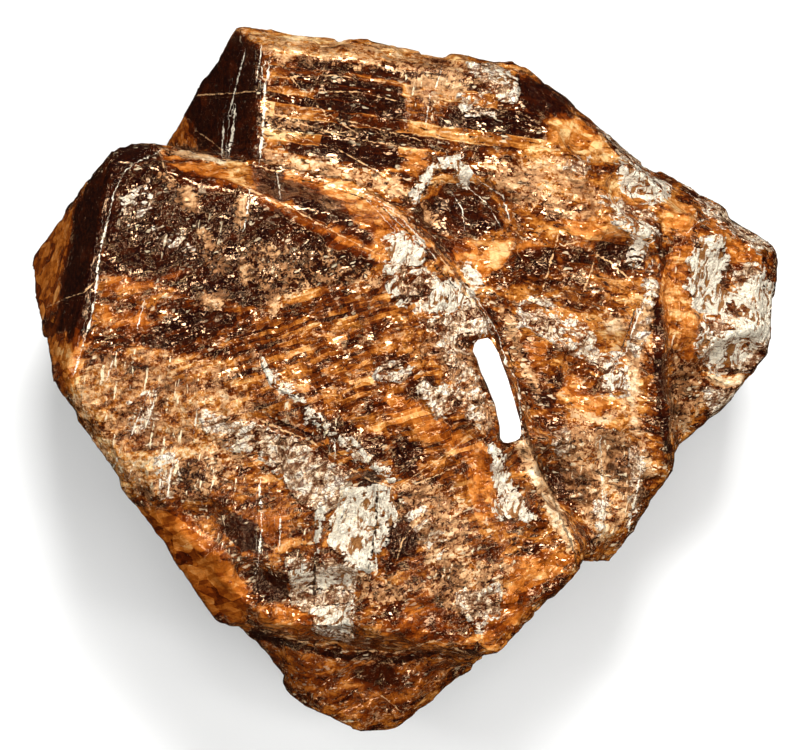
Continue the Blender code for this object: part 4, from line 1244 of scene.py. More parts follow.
@dataclass(frozen=True)
class StoneFinish:
    """The stone's finish: clear amber to near-black crystal with crust, silvery breaks and cracks.

    Colours are linear red, green and blue, each with its place on a scale from 0 to 1: depths run
    from unlit clear crystal to crystal lit from within, crust from its pits to its palest dust, and
    foil from the folds to the crests of the silvery breaks: their own pale colour, with painted shade
    in the folds and painted highlight on the crests. The glare colours paint the highlight of facets
    that face the lamps, and some dark and bright lines are painted shadows and highlights.
    """

    depths: Scale = (
        (0.00, (0.008, 0.001, 0.001)),
        (0.20, (0.040, 0.005, 0.001)),
        (0.34, (0.105, 0.018, 0.002)),
        (0.48, (0.215, 0.050, 0.005)),
        (0.62, (0.420, 0.130, 0.014)),
        (0.78, (0.640, 0.260, 0.058)),
        (1.00, (0.880, 0.580, 0.250)),
    )
    crust: Scale = (
        (0.00, (0.005, 0.002, 0.001)),
        (0.20, (0.050, 0.015, 0.004)),
        (0.38, (0.210, 0.076, 0.022)),
        (0.55, (0.470, 0.220, 0.085)),
        (0.75, (0.740, 0.430, 0.200)),
        (1.00, (0.960, 0.780, 0.500)),
    )
    # The foil scale paints the silvery breaks' own pale colour, with painted shade in their folds and
    # painted highlight on their crests.
    foil: Scale = (
        (0.00, (0.030, 0.010, 0.004)),
        (0.25, (0.160, 0.075, 0.034)),
        (0.50, (0.500, 0.305, 0.165)),
        (0.72, (0.860, 0.640, 0.420)),
        (0.95, (1.000, 0.890, 0.700)),
    )
    # The darkest colour also paints the painted shadows and the shade in the pits. The pale crust colour
    # paints real stain lines and the painted highlight on the pits' lips. The palest colour paints the
    # glint streaks and sparks, which are painted highlights.
    unlit: Colour = (0.008, 0.001, 0.001)
    crack: Colour = (0.105, 0.018, 0.002)
    pale_crust_and_highlight: Colour = (0.740, 0.430, 0.200)
    painted_glint: Colour = (0.960, 0.780, 0.500)
    # The glare is a painted highlight: the bright facets run from their painted shade, dull_glare, to
    # their painted highlight, glare.
    glare: Colour = (1.0, 0.90, 0.70)
    dull_glare: Colour = (0.30, 0.125, 0.035)
    glint: Colour = (1.0, 0.61, 0.34)
    warmth: Colour = (1.0, 0.81, 0.62)
    refraction: float = 1.93
    plate_densities: tuple[float, float, float] = (0.42, 1.15, 3.2)
    plate_slopes: tuple[float, float, float] = (0.42, 0.60, 0.62)
    glare_slope: float = 0.34
    fold_height: float = 0.8
    rib_height: float = 0.8
    pit_depth: float = 0.11
    metal: float = 0.1
    streak_turn: float = -80.0
    fold_turn: float = -78.0
    front_bands: Bands = Bands(-17.0, 1.6, 0.38)
    cross_bands: Bands = Bands(70.0, 1.0, 0.50)
    behind_bands: Bands = Bands(8.0, 0.55, 0.07)
    glare_bands: Bands = Bands(10.0, 0.7, 0.3)

    def build(self, groups: EffectGroups) -> bpy.types.Material:
        """Builds the material.

        Args:
            groups: The shared effects.

        Returns:
            The finished material.
        """
        material, wiring, shader = new_material("zircon_crystal_finish")
        surface = StoneSurface(wiring, groups, self)
        wiring.feed(shader, {
            "IOR": self.refraction,
            "Specular Tint": self.glint,
            "Base Color": surface.colour(),
            "Roughness": surface.roughness(),
            "Metallic": surface.shown[Zone.SILVER] * self.metal,
            "Normal": wiring.bump(surface.height()),
        })
        return material


class StoneSurface:
    """Where each finish, mark and painted light lies on the stone, and the colour, shine and height they
    make.
    """

    edges: dict[Zone, Edge] = {
        Zone.DARK: Edge(0.25, ragged=1.3, angular=0.5),
        Zone.AMBER: Edge(0.30, ragged=1.0, angular=0.5),
        Zone.YELLOW: Edge(0.35, ragged=1.3, angular=0.5),
        Zone.STAIN: Edge(0.07, ragged=1.3, flecks=1.8),
        Zone.SILVER: Edge(0.06, ragged=1.2, angular=2.0),
        Zone.GLARE: Edge(0.04, ragged=1.2, angular=2.4),
    }

    def __init__(self, wiring: Wiring, groups: EffectGroups, finish: StoneFinish) -> None:
        """Lays out the patterns and masks that the colour, shine and height are made of.

        Args:
            wiring: The material's wiring.
            groups: The shared effects.
            finish: The colours and sizes.
        """
        self.wiring = wiring
        self.groups = groups
        self.finish = finish
        self.painted = {zone: wiring.attribute(zone.value) for zone in Zone}
        self.behind = wiring.attribute("behind")
        self.place = wiring.place()
        bend = wiring.noise(self.place, 0.33, 1.0, 0.5, output="Color")
        bent = wiring.vector("ADD", bend, self.place)["Vector"]
        self.grown = self.stretched(bent)
        self.plates = [
            wiring.group(groups.chips, Place=self.grown, Density=density)
            for density in finish.plate_densities
        ]
        self.tones = [plate["Tone"] for plate in self.plates]
        self.front = self.banded(bent, finish.front_bands)
        self.cross = self.banded(bent, finish.cross_bands)
        self.slabs = self.banded(bent, finish.behind_bands)
        self.folds = self.banded(bent, finish.glare_bands)
        self.ragged = wiring.noise(self.place, 0.6, 4.0, 0.72, 0.4)
        self.flecks = wiring.noise(self.place, 1.6, 3.0, 0.75, 0.6)
        self.pits = wiring.noise(self.grown, 1.4, 3.0, 0.68, 0.5)
        self.angular = self.tones[1].times_plus(0.6, self.tones[2] * 0.4)
        streaks = wiring.turned(self.place, finish.streak_turn)
        self.fibres = wiring.group(groups.fibres, Place=streaks, Density=1.5, Stretch=0.10)
        # The fold pattern: the height of the silvery and glare folds, and also the painted shade and
        # highlight in their colour.
        folded = wiring.turned(self.place, finish.fold_turn, 0.42)
        self.crumple = wiring.noise(folded, 0.85, 2.0, 0.55, 1.4)
        self.shown = dict(self.painted)
        for zone, edge in self.edges.items():
            value = self.shaken(zone, edge)
            self.shown[zone] = value.span(0.5 - edge.softness, 0.5 + edge.softness)
            if zone is Zone.AMBER:
                self.brim = abs(value - 0.5).span(0.07, 0.02) * 0.7 * self.flecks.span(0.44, 0.54)
        self.glassy = self.shown[Zone.CLEAN].most(self.shown[Zone.AMBER] * 0.6)
        self.bright = self.shown[Zone.SILVER].most(self.shown[Zone.GLARE])
        self.black = self.painted[Zone.DARK].span(1.0, 1.5)
        self.rough = self.glassy.calmed(0.9) * self.shown[Zone.YELLOW].calmed(0.6)
        self.rough = self.rough * self.shown[Zone.STRIAE].calmed(0.45)
        mottle = wiring.noise(self.grown, 0.5, 3.0, 0.6, 0.3)
        self.varied = wiring.swung(
            (mottle, 1.6), (self.flecks, 0.8), (self.pits, 0.8), *zip(self.tones, (0.28, 0.24, 0.16))
        )

    def stretched(self, bent: Value) -> Value:
        """Stretches a place along each crystal's own growth lines.

        Args:
            bent: The place, bent a little so that nothing drawn from it is ruler-straight.

        Returns:
            The stretched place.
        """
        front = self.wiring.turned(bent, self.finish.front_bands.turn, 0.48)
        back = self.wiring.turned(bent, self.finish.behind_bands.turn, 0.42)
        inputs = {"Factor": self.behind, 4: front, 5: back}
        return Value(self.wiring, self.wiring.add("ShaderNodeMix", inputs, data_type="VECTOR").outputs[1])

    def banded(self, bent: Value, bands: Bands) -> dict[str, Value]:
        """Places one set of growth bands."""
        sizes = {"Density": bands.density, "Length": bands.length}
        return self.wiring.group(self.groups.growth, Place=self.wiring.turned(bent, bands.turn), **sizes)

    def shaken(self, zone: Zone, edge: Edge) -> Value:
        """Breaks up a painted zone along the plates and with fine noise.

        Args:
            zone: The zone.
            edge: How far each pattern shifts it.

        Returns:
            The zone's strength, whose edge is where it passes 0.5.
        """
        amounts = ((self.flecks, edge.flecks), (self.ragged, edge.ragged), (self.angular, edge.angular))
        uneven = self.wiring.swung(*[part for part in amounts if part[1]])
        if zone in (Zone.SILVER, Zone.GLARE):
            uneven = uneven * self.painted[zone].span(0.0, 0.5)
        value = self.painted[zone] + uneven
        if zone is Zone.STAIN:
            value = value + self.painted[Zone.CLEAN].times_plus(-0.6, -0.06)
        return value

    def colour(self) -> Value:
        """Lays crust, silvery breaks, glare and fine lines over the crystal's colour, which holds painted
        shade in its hollows and pits; the glare, the glints and some lines are painted highlights and
        shadows.

        Returns:
            The colour.
        """
        colour = self.crystal()
        colour = self.crusted(colour)
        colour = self.broken(colour)
        return self.lined(colour)

    def crystal(self) -> Value:
        """Works out how deep or lit the clear crystal looks at each place.

        Returns:
            The crystal's colour.
        """
        shown = self.shown
        swing = shown[Zone.BANDING].calmed(0.3) * shown[Zone.STRIAE].calmed(0.35)
        swing = swing * self.glassy.calmed(0.7) * shown[Zone.DARK].calmed(0.45)
        level = self.varied.times_plus(swing, 0.36)
        for tone, amount in zip(self.tones, (0.30, 0.16)):
            level = (tone - 0.66).times_plus(self.glassy * amount, level)
        for zone, shift in ((Zone.DARK, -0.37), (Zone.AMBER, 0.25), (Zone.YELLOW, 0.21)):
            level = shown[zone].times_plus(shift, level)
        level = self.striped(self.behind.times_plus(0.06, level))
        warm = shown[Zone.AMBER] * shown[Zone.YELLOW].calmed(0.7)
        colour = self.wiring.ramp(self.finish.depths, level)
        return self.wiring.blend(warm, colour, self.finish.warmth, "MULTIPLY")

    def striped(self, level: Value) -> Value:
        """Adds the growth stripes of the front crystal and the slabs of the one behind.

        Args:
            level: The crystal's level.

        Returns:
            The striped level.
        """
        rows = (
            (Zone.STRIAE, self.front, 0.30, 0.34, 0.12),
            (Zone.STRIAE, self.cross, 0.12, 0.0, 0.07),
            (Zone.BANDING, self.slabs, 0.80, 0.60, 0.25),
        )
        for zone, bands, band, brick, line in rows:
            total = self.wiring.swung((bands["Band"], band), (bands["Brick"], brick))
            total = bands["Line"].times_plus(line, total)
            level = total.times_plus(self.shown[zone], level)
        return level

    def crusted(self, colour: Value) -> Value:
        """Lays dull crust over a colour, with the pits darkened as painted shade and their pale rims a
        painted highlight.

        Args:
            colour: The colour so far.

        Returns:
            The crusted colour.
        """
        wiring, finish, shown = self.wiring, self.finish, self.shown
        dust = self.varied.times_plus(0.8, 0.56)
        dust = shown[Zone.DARK].times_plus(-0.15, dust)
        dust = dust + self.painted[Zone.STAIN].span(0.74, 0.82, 0.0, 0.22)
        colour = wiring.blend(shown[Zone.STAIN] * 0.92, colour, wiring.ramp(finish.crust, dust))
        # Painted shade: the sunk pits are darkened.
        pit_shade = self.pits.span(0.405, 0.375) * self.rough
        colour = wiring.blend(pit_shade * 0.9, colour, finish.unlit)
        # Painted highlight: the lips of the pits are lit pale; the pale line along the amber zones' edges
        # is added to it.
        rim = self.pits.span(0.46, 0.44) * self.ragged.span(0.46, 0.56) * self.pits.span(0.40, 0.425)
        rim = rim * self.rough * shown[Zone.DARK].calmed(0.6) * 0.7
        rim = rim.most(self.brim) * self.black.calmed(0.9) * self.glassy.calmed(0.6)
        return wiring.blend(rim, colour, finish.pale_crust_and_highlight)

    def broken(self, colour: Value) -> Value:
        """Lays the silvery breaks, with painted shade in their folds and painted highlight on their
        crests, and the glare, a painted highlight, over a colour, with the cracks that cut them.

        Args:
            colour: The colour so far.

        Returns:
            The colour with the breaks.
        """
        wiring, finish, shown = self.wiring, self.finish, self.shown
        # The silvery breaks' tone rises with the fold height, so their folds get painted shade and their
        # crests a painted highlight.
        tone = wiring.swung((self.crumple, 1.8)) + self.varied.times_plus(0.7, 0.17)
        for plate, share in zip(self.tones, (0.10, 0.44, 0.32)):
            tone = plate.times_plus(share, tone)
        colour = wiring.blend(shown[Zone.SILVER], colour, wiring.ramp(finish.foil, tone))
        # The glare is a painted highlight: near-white where the folds rise, with painted shade where they
        # sink.
        facet = wiring.swung((self.crumple, 2.6)) + self.tones[1].times_plus(0.25, 0.25)
        facet = self.varied.times_plus(0.5, facet).span(0.11, 0.31)
        shine = wiring.blend(facet, finish.dull_glare, finish.glare)
        colour = wiring.blend(shown[Zone.GLARE], colour, shine)
        fine = wiring.group(self.groups.cracks, Place=self.place, Density=1.3, Width=0.05)["Line"]
        long = wiring.group(self.groups.cracks, Place=self.grown, Density=0.5, Width=0.025)["Line"]
        cut = fine.most(long) * self.bright.times_plus(0.6, 0.25) * shown[Zone.GLARE].calmed(0.5)
        vein = abs(self.crumple - 0.465).span(0.016, 0.006) * self.bright * self.ragged.span(0.44, 0.54)
        return wiring.blend(cut.most(vein * 0.85), colour, finish.crack)

    def lined(self, colour: Value) -> Value:
        """Lays painted glint streaks and sparks, and the noted thin lines, among them painted shadows and
        painted highlights, over a colour.

        Args:
            colour: The colour so far.

        Returns:
            The colour with the lines.
        """
        wiring, finish, streaks = self.wiring, self.finish, self.shown[Zone.STREAKS]
        # Painted glints: thin streaks and sparks in the palest colour.
        glint_marks = streaks.most(0.18) * streaks.times_plus(0.07, self.ragged).span(0.54, 0.60)
        glint_marks = (self.fibres["Streak"] * glint_marks).span(0.1, 0.5) * self.shown[Zone.CLEAN].calmed(0.85)
        spark = self.tones[2].span(0.88, 0.90) * self.tones[1].span(0.76, 0.78) * self.rough
        glint_marks = glint_marks.most(spark * 0.6) * self.black.calmed(0.85)
        colour = wiring.blend(glint_marks, colour, finish.painted_glint)
        # The noted lines: dark ones are dark cracks and painted shadows, stain ones real stain, glare ones
        # painted highlights.
        paints = {Zone.DARK: finish.unlit, Zone.STAIN: finish.pale_crust_and_highlight, Zone.GLARE: finish.glare}
        for zone, paint in paints.items():
            colour = wiring.blend(self.traced(zone), colour, paint)
        return colour

    def traced(self, zone: Zone) -> Value:
        """Finds a zone's thin lines, which wander, swell and break a little.

        Args:
            zone: The finish that the lines have.

        Returns:
            A mask of the lines.
        """
        side = self.wiring.attribute(f"{zone.value}_side") + self.wiring.swung((self.flecks, 0.7))
        wide = self.ragged.span(0.42, 0.60, 0.05, 0.95) * self.pits.span(0.38, 0.47)
        wide = self.wiring.attribute(f"{zone.value}_width") * wide
        return (abs(side) / (wide + 0.001)).span(1.3, 0.6)

    def roughness(self) -> Value:
        """Works out how dull the surface is: polished crystal, duller crust and breaks.

        Returns:
            The roughness.
        """
        crystal = self.tones[1].span(0.0, 1.0, 0.05, 0.14)
        return crystal.most(self.shown[Zone.STAIN] * 0.3).most(self.bright * 0.22)

    def height(self) -> Value:
        """Works out the finest relief: tilted plates, growth steps, folds, pits and ribs.

        Returns:
            The height, in millimetres.
        """
        finish, shown, painted = self.finish, self.shown, self.painted
        total = 0.0
        for plate, density, slope in zip(self.plates, finish.plate_densities, finish.plate_slopes):
            total = plate["Height"].times_plus(slope / density, total)
        lively = self.wiring.noise(self.place, 0.22, 2.0).span(0.42, 0.64, 0.30, 1.05)
        lively = lively * shown[Zone.BANDING].calmed(0.4) * shown[Zone.STRIAE].calmed(0.4)
        total = total * (lively * shown[Zone.CLEAN].calmed(0.8) * painted[Zone.DARK].calmed(0.25))
        steps = (
            (Zone.STRIAE, self.front, 0.5),
            (Zone.STRIAE, self.cross, 0.3),
            (Zone.BANDING, self.slabs, 0.4),
        )
        for zone, bands, slope in steps:
            total = (bands["Height"] * slope).times_plus(shown[zone], total)
        shiny = painted[Zone.SILVER].most(painted[Zone.GLARE]).span(0.2, 0.6, 0.0, finish.fold_height)
        total = self.crumple.times_plus(shiny, total)
        tilt = painted[Zone.GLARE].span(0.3, 0.7, 0.0, finish.glare_slope)
        total = self.folds["Step"].times_plus(tilt, total)
        sunk = self.pits.span(0.44, 0.375, 0.0, -finish.pit_depth)
        total = sunk.times_plus(painted[Zone.CLEAN].calmed(0.9), total)
        ribs = self.fibres["Grain"] * finish.rib_height
        return ribs.times_plus(shown[Zone.STREAKS], total)


@dataclass(frozen=True)
class PaperFinish:
    """Matt white paper with faint fibres."""

    colour: Colour = (0.97, 0.96, 0.93)
    shade: Colour = (0.82, 0.79, 0.72)
    shine: float = 0.3
    fibre_height: float = 0.05

    def build(self, groups: EffectGroups) -> bpy.types.Material:
        """Builds the material.

        Args:
            groups: The shared effects.

        Returns:
            The finished material.
        """
        material, wiring, shader = new_material("label_paper_finish")
        place = wiring.place()
        blotch = wiring.noise(place, 0.5, 6.0)
        fibres = wiring.group(groups.fibres, Place=place, Density=4.0)
        share = fibres["Streak"] * 0.12 + blotch.span(0.45, 0.75) * 0.5
        wiring.feed(shader, {
            "Specular IOR Level": self.shine,
            "Base Color": wiring.blend(share, self.colour, self.shade),
            "Roughness": blotch.span(0.3, 0.7, 0.6, 0.8),
            "Normal": wiring.bump(fibres["Grain"] * self.fibre_height),
        })
        return material


@dataclass(frozen=True)
class FloorFinish:
    """Pale matt floor that throws next to no light back on the stone."""

    colour: Colour = (0.90, 0.90, 0.89)
    bounce: Colour = (0.012, 0.009, 0.007)
    darker: float = 0.96
    dullness: float = 0.9

    def build(self) -> bpy.types.Material:
        """Builds the material.

        Returns:
            The finished material.
        """
        material, wiring, shader = new_material("studio_floor_finish")
        soft = wiring.noise(wiring.place(), 0.02, 2.0).span(0.3, 0.7)
        pale = wiring.blend(soft, self.colour, tuple(self.darker * part for part in self.colour))
        seen = wiring.read("ShaderNodeLightPath", {})["Is Camera Ray"]
        wiring.feed(shader, {
            "Specular IOR Level": 0.0,
            "Roughness": self.dullness,
            "Base Color": wiring.blend(seen, self.bounce, pale),
        })
        return material


def select_only(obj: bpy.types.Object) -> None:
    """Makes obj the one selected and active object.

    Args:
        obj: The object.
    """
    bpy.ops.object.select_all(action="DESELECT")
    obj.select_set(True)
    bpy.context.view_layer.objects.active = obj


def apply_modifier(obj: bpy.types.Object, kind: str, **settings: object) -> None:
    """Adds a modifier and works it into the mesh.

    Args:
        obj: The object to change.
        kind: The modifier's type.
        **settings: Its properties.
    """
    select_only(obj)
    modifier = obj.modifiers.new(kind.lower(), kind)
    for name, value in settings.items():
        setattr(modifier, name, value)
    bpy.ops.object.modifier_apply(modifier=modifier.name)


def write_attribute(obj: bpy.types.Object, name: str, values: np.ndarray) -> None:
    """Writes one value for each point of an object's mesh."""
    attribute = obj.data.attributes.new(name, "FLOAT", "POINT")
    attribute.data.foreach_set("value", values.astype(np.float32))


@dataclass
class StoneBody:
    """The grown stone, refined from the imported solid: finer grain, chips, ripples and crust."""

    layout: Layout
    node: str = "zircon_crystal"
    slot: str = "zircon"
    grain: float = 0.42
    triangles: int = 192000
    chip_sizes: tuple[tuple[float, float], ...] = ((3.1, 0.24), (1.4, 0.10))
    smooth_faces: tuple[tuple[float, float, float], ...] = ((-0.878, 0.185, 0.442), (-0.846, 0.07, 0.53))
    smooth_share: float = 0.12
    clean_share: float = 0.6
    crinkle_height: float = 0.08
    crust_height: float = 0.09
    streak_height: float = 0.20
    crease_angle: float = 32.0
    edge_wobble: float = 0.9
    edge_softness: float = 1.0
    edge_reach: float = 2.0
    wide: float = 0.3
    line_reach: float = 0.8
    noted_level: float = 30.0
    points: np.ndarray = field(init=False, repr=False)
    normals: np.ndarray = field(init=False, repr=False)
    seen: np.ndarray = field(init=False, repr=False)

    def build(self, groups: EffectGroups) -> bpy.types.Object:
        """Builds and dresses the stone.

        Args:
            groups: The shared effects.

        Returns:
            The finished piece.
        """
        stone = self.copy_of_solid()
        self.refine(stone)
        zones = self.paint(stone)
        self.carve(stone, zones)
        select_only(stone)
        bpy.ops.object.shade_smooth_by_angle(angle=math.radians(self.crease_angle))
        stone.data.materials.clear()
        stone.data.materials.append(StoneFinish().build(groups))
        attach(stone, "root")
        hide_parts(self.node)
        return stone

    def copy_of_solid(self) -> bpy.types.Object:
        """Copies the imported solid's mesh and merges its loose triangles.

        Returns:
            The copy.
        """
        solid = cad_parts[self.node]
        stone = bpy.data.objects.new("zircon_stone", solid.data.copy())
        bpy.context.scene.collection.objects.link(stone)
        select_only(stone)
        bpy.ops.object.mode_set(mode="EDIT")
        bpy.ops.mesh.select_all(action="SELECT")
        bpy.ops.mesh.remove_doubles(threshold=1e-6)
        bpy.ops.object.mode_set(mode="OBJECT")
        for name in [layer.name for layer in stone.data.uv_layers]:
            stone.data.uv_layers.remove(stone.data.uv_layers[name])
        return stone

    def refine(self, stone: bpy.types.Object) -> None:
        """Gives the stone an even fine mesh, thinned on the sides that lie away from the face.

        Args:
            stone: The stone.
        """
        apply_modifier(stone, "REMESH", mode="VOXEL", voxel_size=self.grain * MM)
        apply_modifier(stone, "SMOOTH", factor=0.5, iterations=1)
        self.read(stone)
        spare = stone.vertex_groups.new(name="spare")
        hidden = np.nonzero(self.normals[:, 2] < 0.12)[0]
        spare.add(hidden.tolist(), 1.0, "REPLACE")
        count = sum(len(face.vertices) - 2 for face in stone.data.polygons)
        ratio = min(1.0, self.triangles / count)
        apply_modifier(stone, "DECIMATE", ratio=ratio, vertex_group="spare", vertex_group_factor=1.0)
        stone.vertex_groups.clear()

    def read(self, stone: bpy.types.Object) -> None:
        """Reads the points, in layout millimetres, and the normals.

        Args:
            stone: The stone.
        """
        count = len(stone.data.vertices)
        points = np.empty(count * 3)
        normals = np.empty(count * 3)
        stone.data.vertices.foreach_get("co", points)
        stone.data.vertex_normals.foreach_get("vector", normals)
        self.points = points.reshape(-1, 3) / MM - np.array(self.layout.shift())
        self.normals = normals.reshape(-1, 3)

    def paint(self, stone: bpy.types.Object) -> dict[Zone, np.ndarray]:
        """Writes each zone's strength as a mesh attribute.

        Args:
            stone: The refined stone.

        Returns:
            The strength of each zone at each point.
        """
        self.read(stone)
        self.seen = self.as_seen()
        upper = smooth_step(-0.1, 0.2, self.normals[:, 2])
        write_attribute(stone, "behind", self.is_behind())
        wobble = drift(self.points, 1.6, 11) + 0.6 * drift(self.points, 0.7, 12) - 0.8
        swell = drift(self.points, 2.6, 13) + 0.6 * drift(self.points, 0.8, 14)
        zones = {}
        for zone, strokes in STROKES.items():
            self.trace(stone, zone, [stroke for stroke in strokes if stroke.half_width < self.wide])
        for number, zone in enumerate(Zone):
            painted = np.zeros(len(self.points))
            for outline in OUTLINES.get(zone, ()):
                self.fill(painted, outline, wobble)
            for stroke in STROKES.get(zone, ()):
                if stroke.half_width >= self.wide:
                    self.draw(painted, stroke, swell)
            wild = drift(self.points, 9.0, 20 + number) * 0.6 + drift(self.points, 3.0, 40 + number) * 0.4
            wild = smooth_step(0.45, 0.72, wild) * SIDE_SHARES.get(zone, OTHER_SIDE_SHARE)
            zones[zone] = upper * painted + (1.0 - upper) * wild
            write_attribute(stone, zone.value, zones[zone])
        return zones

    def as_seen(self) -> np.ndarray:
        """Works out where the camera sees each point on the level that the places were noted on.

        Returns:
            One row of X and Y for each point.
        """
        middle = np.array((0.0, CAMERA_UP_OFFSET))
        reach = (CAMERA_HEIGHT - self.noted_level) / (CAMERA_HEIGHT - self.points[:, 2:3])
        return (self.points[:, 0:2] - middle) * reach + middle

    def is_behind(self) -> np.ndarray:
        """Tells the points of the crystal behind and of the right offshoot from the rest."""
        xs, ys = np.array(CONTACT).T
        return self.seen[:, 1] > np.interp(self.seen[:, 0], xs, ys)

    def near(self, corners: Corners, margin: float) -> np.ndarray:
        """Picks the points within a margin of the corners' box.

        Args:
            corners: The corners.
            margin: How far outside their box a point may be.

        Returns:
            The numbers of the points.
        """
        low = np.min(corners, axis=0) - margin
        high = np.max(corners, axis=0) + margin
        inside = np.all((self.seen > low) & (self.seen < high), axis=1)
        return np.nonzero(inside)[0]

    @staticmethod
    def gap_to_leg(place: np.ndarray, start: tuple[float, float], end: tuple[float, float]) -> np.ndarray:
        """Measures how far each place is from one straight leg.

        Args:
            place: The places.
            start: One end of the leg.
            end: Its other end.

        Returns:
            The distances.
        """
        first = np.array(start)
        leg = np.array(end) - first
        share = np.clip((place - first) @ leg / (leg @ leg), 0.0, 1.0)
        gap = place - first - share[:, None] * leg
        return np.hypot(gap[:, 0], gap[:, 1])

    def fill(self, painted: np.ndarray, outline: Outline, wobble: np.ndarray) -> None:
        """Paints one outline, with a slightly ragged soft edge.

        Args:
            painted: The zone's strength so far, changed in place.
            outline: The place to paint.
            wobble: Uneven shift of the edge at each point, in millimetres.
        """
        chosen = self.near(outline.corners, self.edge_reach)
        place = self.seen[chosen]
        nearest = np.full(len(chosen), np.inf)
        inside = np.zeros(len(chosen), dtype=bool)
        for start, end in zip(outline.corners, outline.corners[1:] + outline.corners[:1]):
            nearest = np.minimum(nearest, self.gap_to_leg(place, start, end))
            crosses = (place[:, 1] < start[1]) != (place[:, 1] < end[1])
            rise = end[1] - start[1] or 1.0
            reach = start[0] + (place[:, 1] - start[1]) / rise * (end[0] - start[0])
            inside ^= crosses & (place[:, 0] < reach)
        depth = np.where(inside, nearest, -nearest) + wobble[chosen] * self.edge_wobble
        value = outline.strength * smooth_step(-self.edge_softness, self.edge_softness, depth)
        painted[chosen] = np.maximum(painted[chosen], value)

    def trace(self, stone: bpy.types.Object, zone: Zone, strokes: list[Stroke]) -> None:
        """Writes, for thin lines, how far and on which side of the nearest line each point is.

        A second attribute holds the line's half width there, and 0 away from any line.

        Args:
            stone: The refined stone.
            zone: The finish that the lines have.
            strokes: The lines.
        """
        far_away = 9.0
        side = np.full(len(self.points), far_away)
        width = np.zeros(len(self.points))
        for stroke in strokes:
            chosen = self.near(stroke.points, self.line_reach)
            place = self.seen[chosen]
            ends = np.array((stroke.points[0], stroke.points[-1]))
            tip = np.min(np.linalg.norm(place[:, None, :] - ends[None], axis=2), axis=1)
            wide = stroke.half_width * np.minimum(1.0, 0.35 + tip / 2.0)
            for start, end in zip(stroke.points, stroke.points[1:]):
                away = self.gap_to_leg(place, start, end)
                leg = np.array(end) - np.array(start)
                gap = place - np.array(start)
                turn = np.sign(leg[0] * gap[:, 1] - leg[1] * gap[:, 0])
                closer = away < np.minimum(np.abs(side[chosen]), self.line_reach)
                side[chosen[closer]] = (away * turn)[closer]
                width[chosen[closer]] = wide[closer]
        write_attribute(stone, f"{zone.value}_side", side)
        write_attribute(stone, f"{zone.value}_width", width)

    def draw(self, painted: np.ndarray, stroke: Stroke, swell: np.ndarray) -> None:
        """Paints one stroke, which swells, thins out and breaks.

        Args:
            painted: The zone's strength so far, changed in place.
            stroke: The line to paint.
            swell: How wide the line is at each point, about 0 to 1.6.
        """
        chosen = self.near(stroke.points, self.edge_reach)
        place = self.seen[chosen]
        legs = zip(stroke.points, stroke.points[1:])
        nearest = np.min([self.gap_to_leg(place, start, end) for start, end in legs], axis=0)
        wide = stroke.half_width * (0.4 + 0.9 * swell[chosen])
        value = 1.0 - smooth_step(0.4, 2.0, nearest / wide)
        value *= stroke.strength * (0.6 + 0.4 * swell[chosen])
        painted[chosen] = np.maximum(painted[chosen], value)

    def carve(self, stone: bpy.types.Object, zones: dict[Zone, np.ndarray]) -> None:
        """Moves the points along their normals to make the relief.

        Args:
            stone: The stone.
            zones: The strength of each zone at each point.
        """
        amount = np.ones(len(self.points))
        for direction in self.smooth_faces:
            like = self.normals @ (np.array(direction) / np.linalg.norm(direction))
            amount *= 1.0 - (1.0 - self.smooth_share) * smooth_step(0.90, 0.96, like)
        amount *= 1.0 - self.clean_share * zones[Zone.CLEAN]
        rise = np.zeros(len(self.points))
        for number, (size, height) in enumerate(self.chip_sizes):
            rise += chips(self.points, size, 60 + number) * height * amount
        crinkle = chips(self.points * np.array((1.0, 0.6, 1.0)), 1.1, 71) * self.crinkle_height
        rise += crinkle * np.maximum(zones[Zone.SILVER], zones[Zone.GLARE])
        crust = drift(self.points, 0.8, 81) * smooth_step(0.4, 0.8, zones[Zone.STAIN])
        rise += crust * self.crust_height
        tall = self.points * np.array((1.0, 0.16, 0.5))
        rise += (drift(tall, 0.7, 91) - 0.5) * self.streak_height * zones[Zone.STREAKS]
        shift = np.array(self.layout.shift())
        floor = smooth_step(0.2, 1.2, self.points[:, 2] + shift[2])
        moved = (self.points + self.normals * (rise * floor)[:, None] + shift) * MM
        moved[:, 2] = np.maximum(moved[:, 2], 0.0)
        stone.data.vertices.foreach_set("co", moved.ravel())
        stone.data.update()


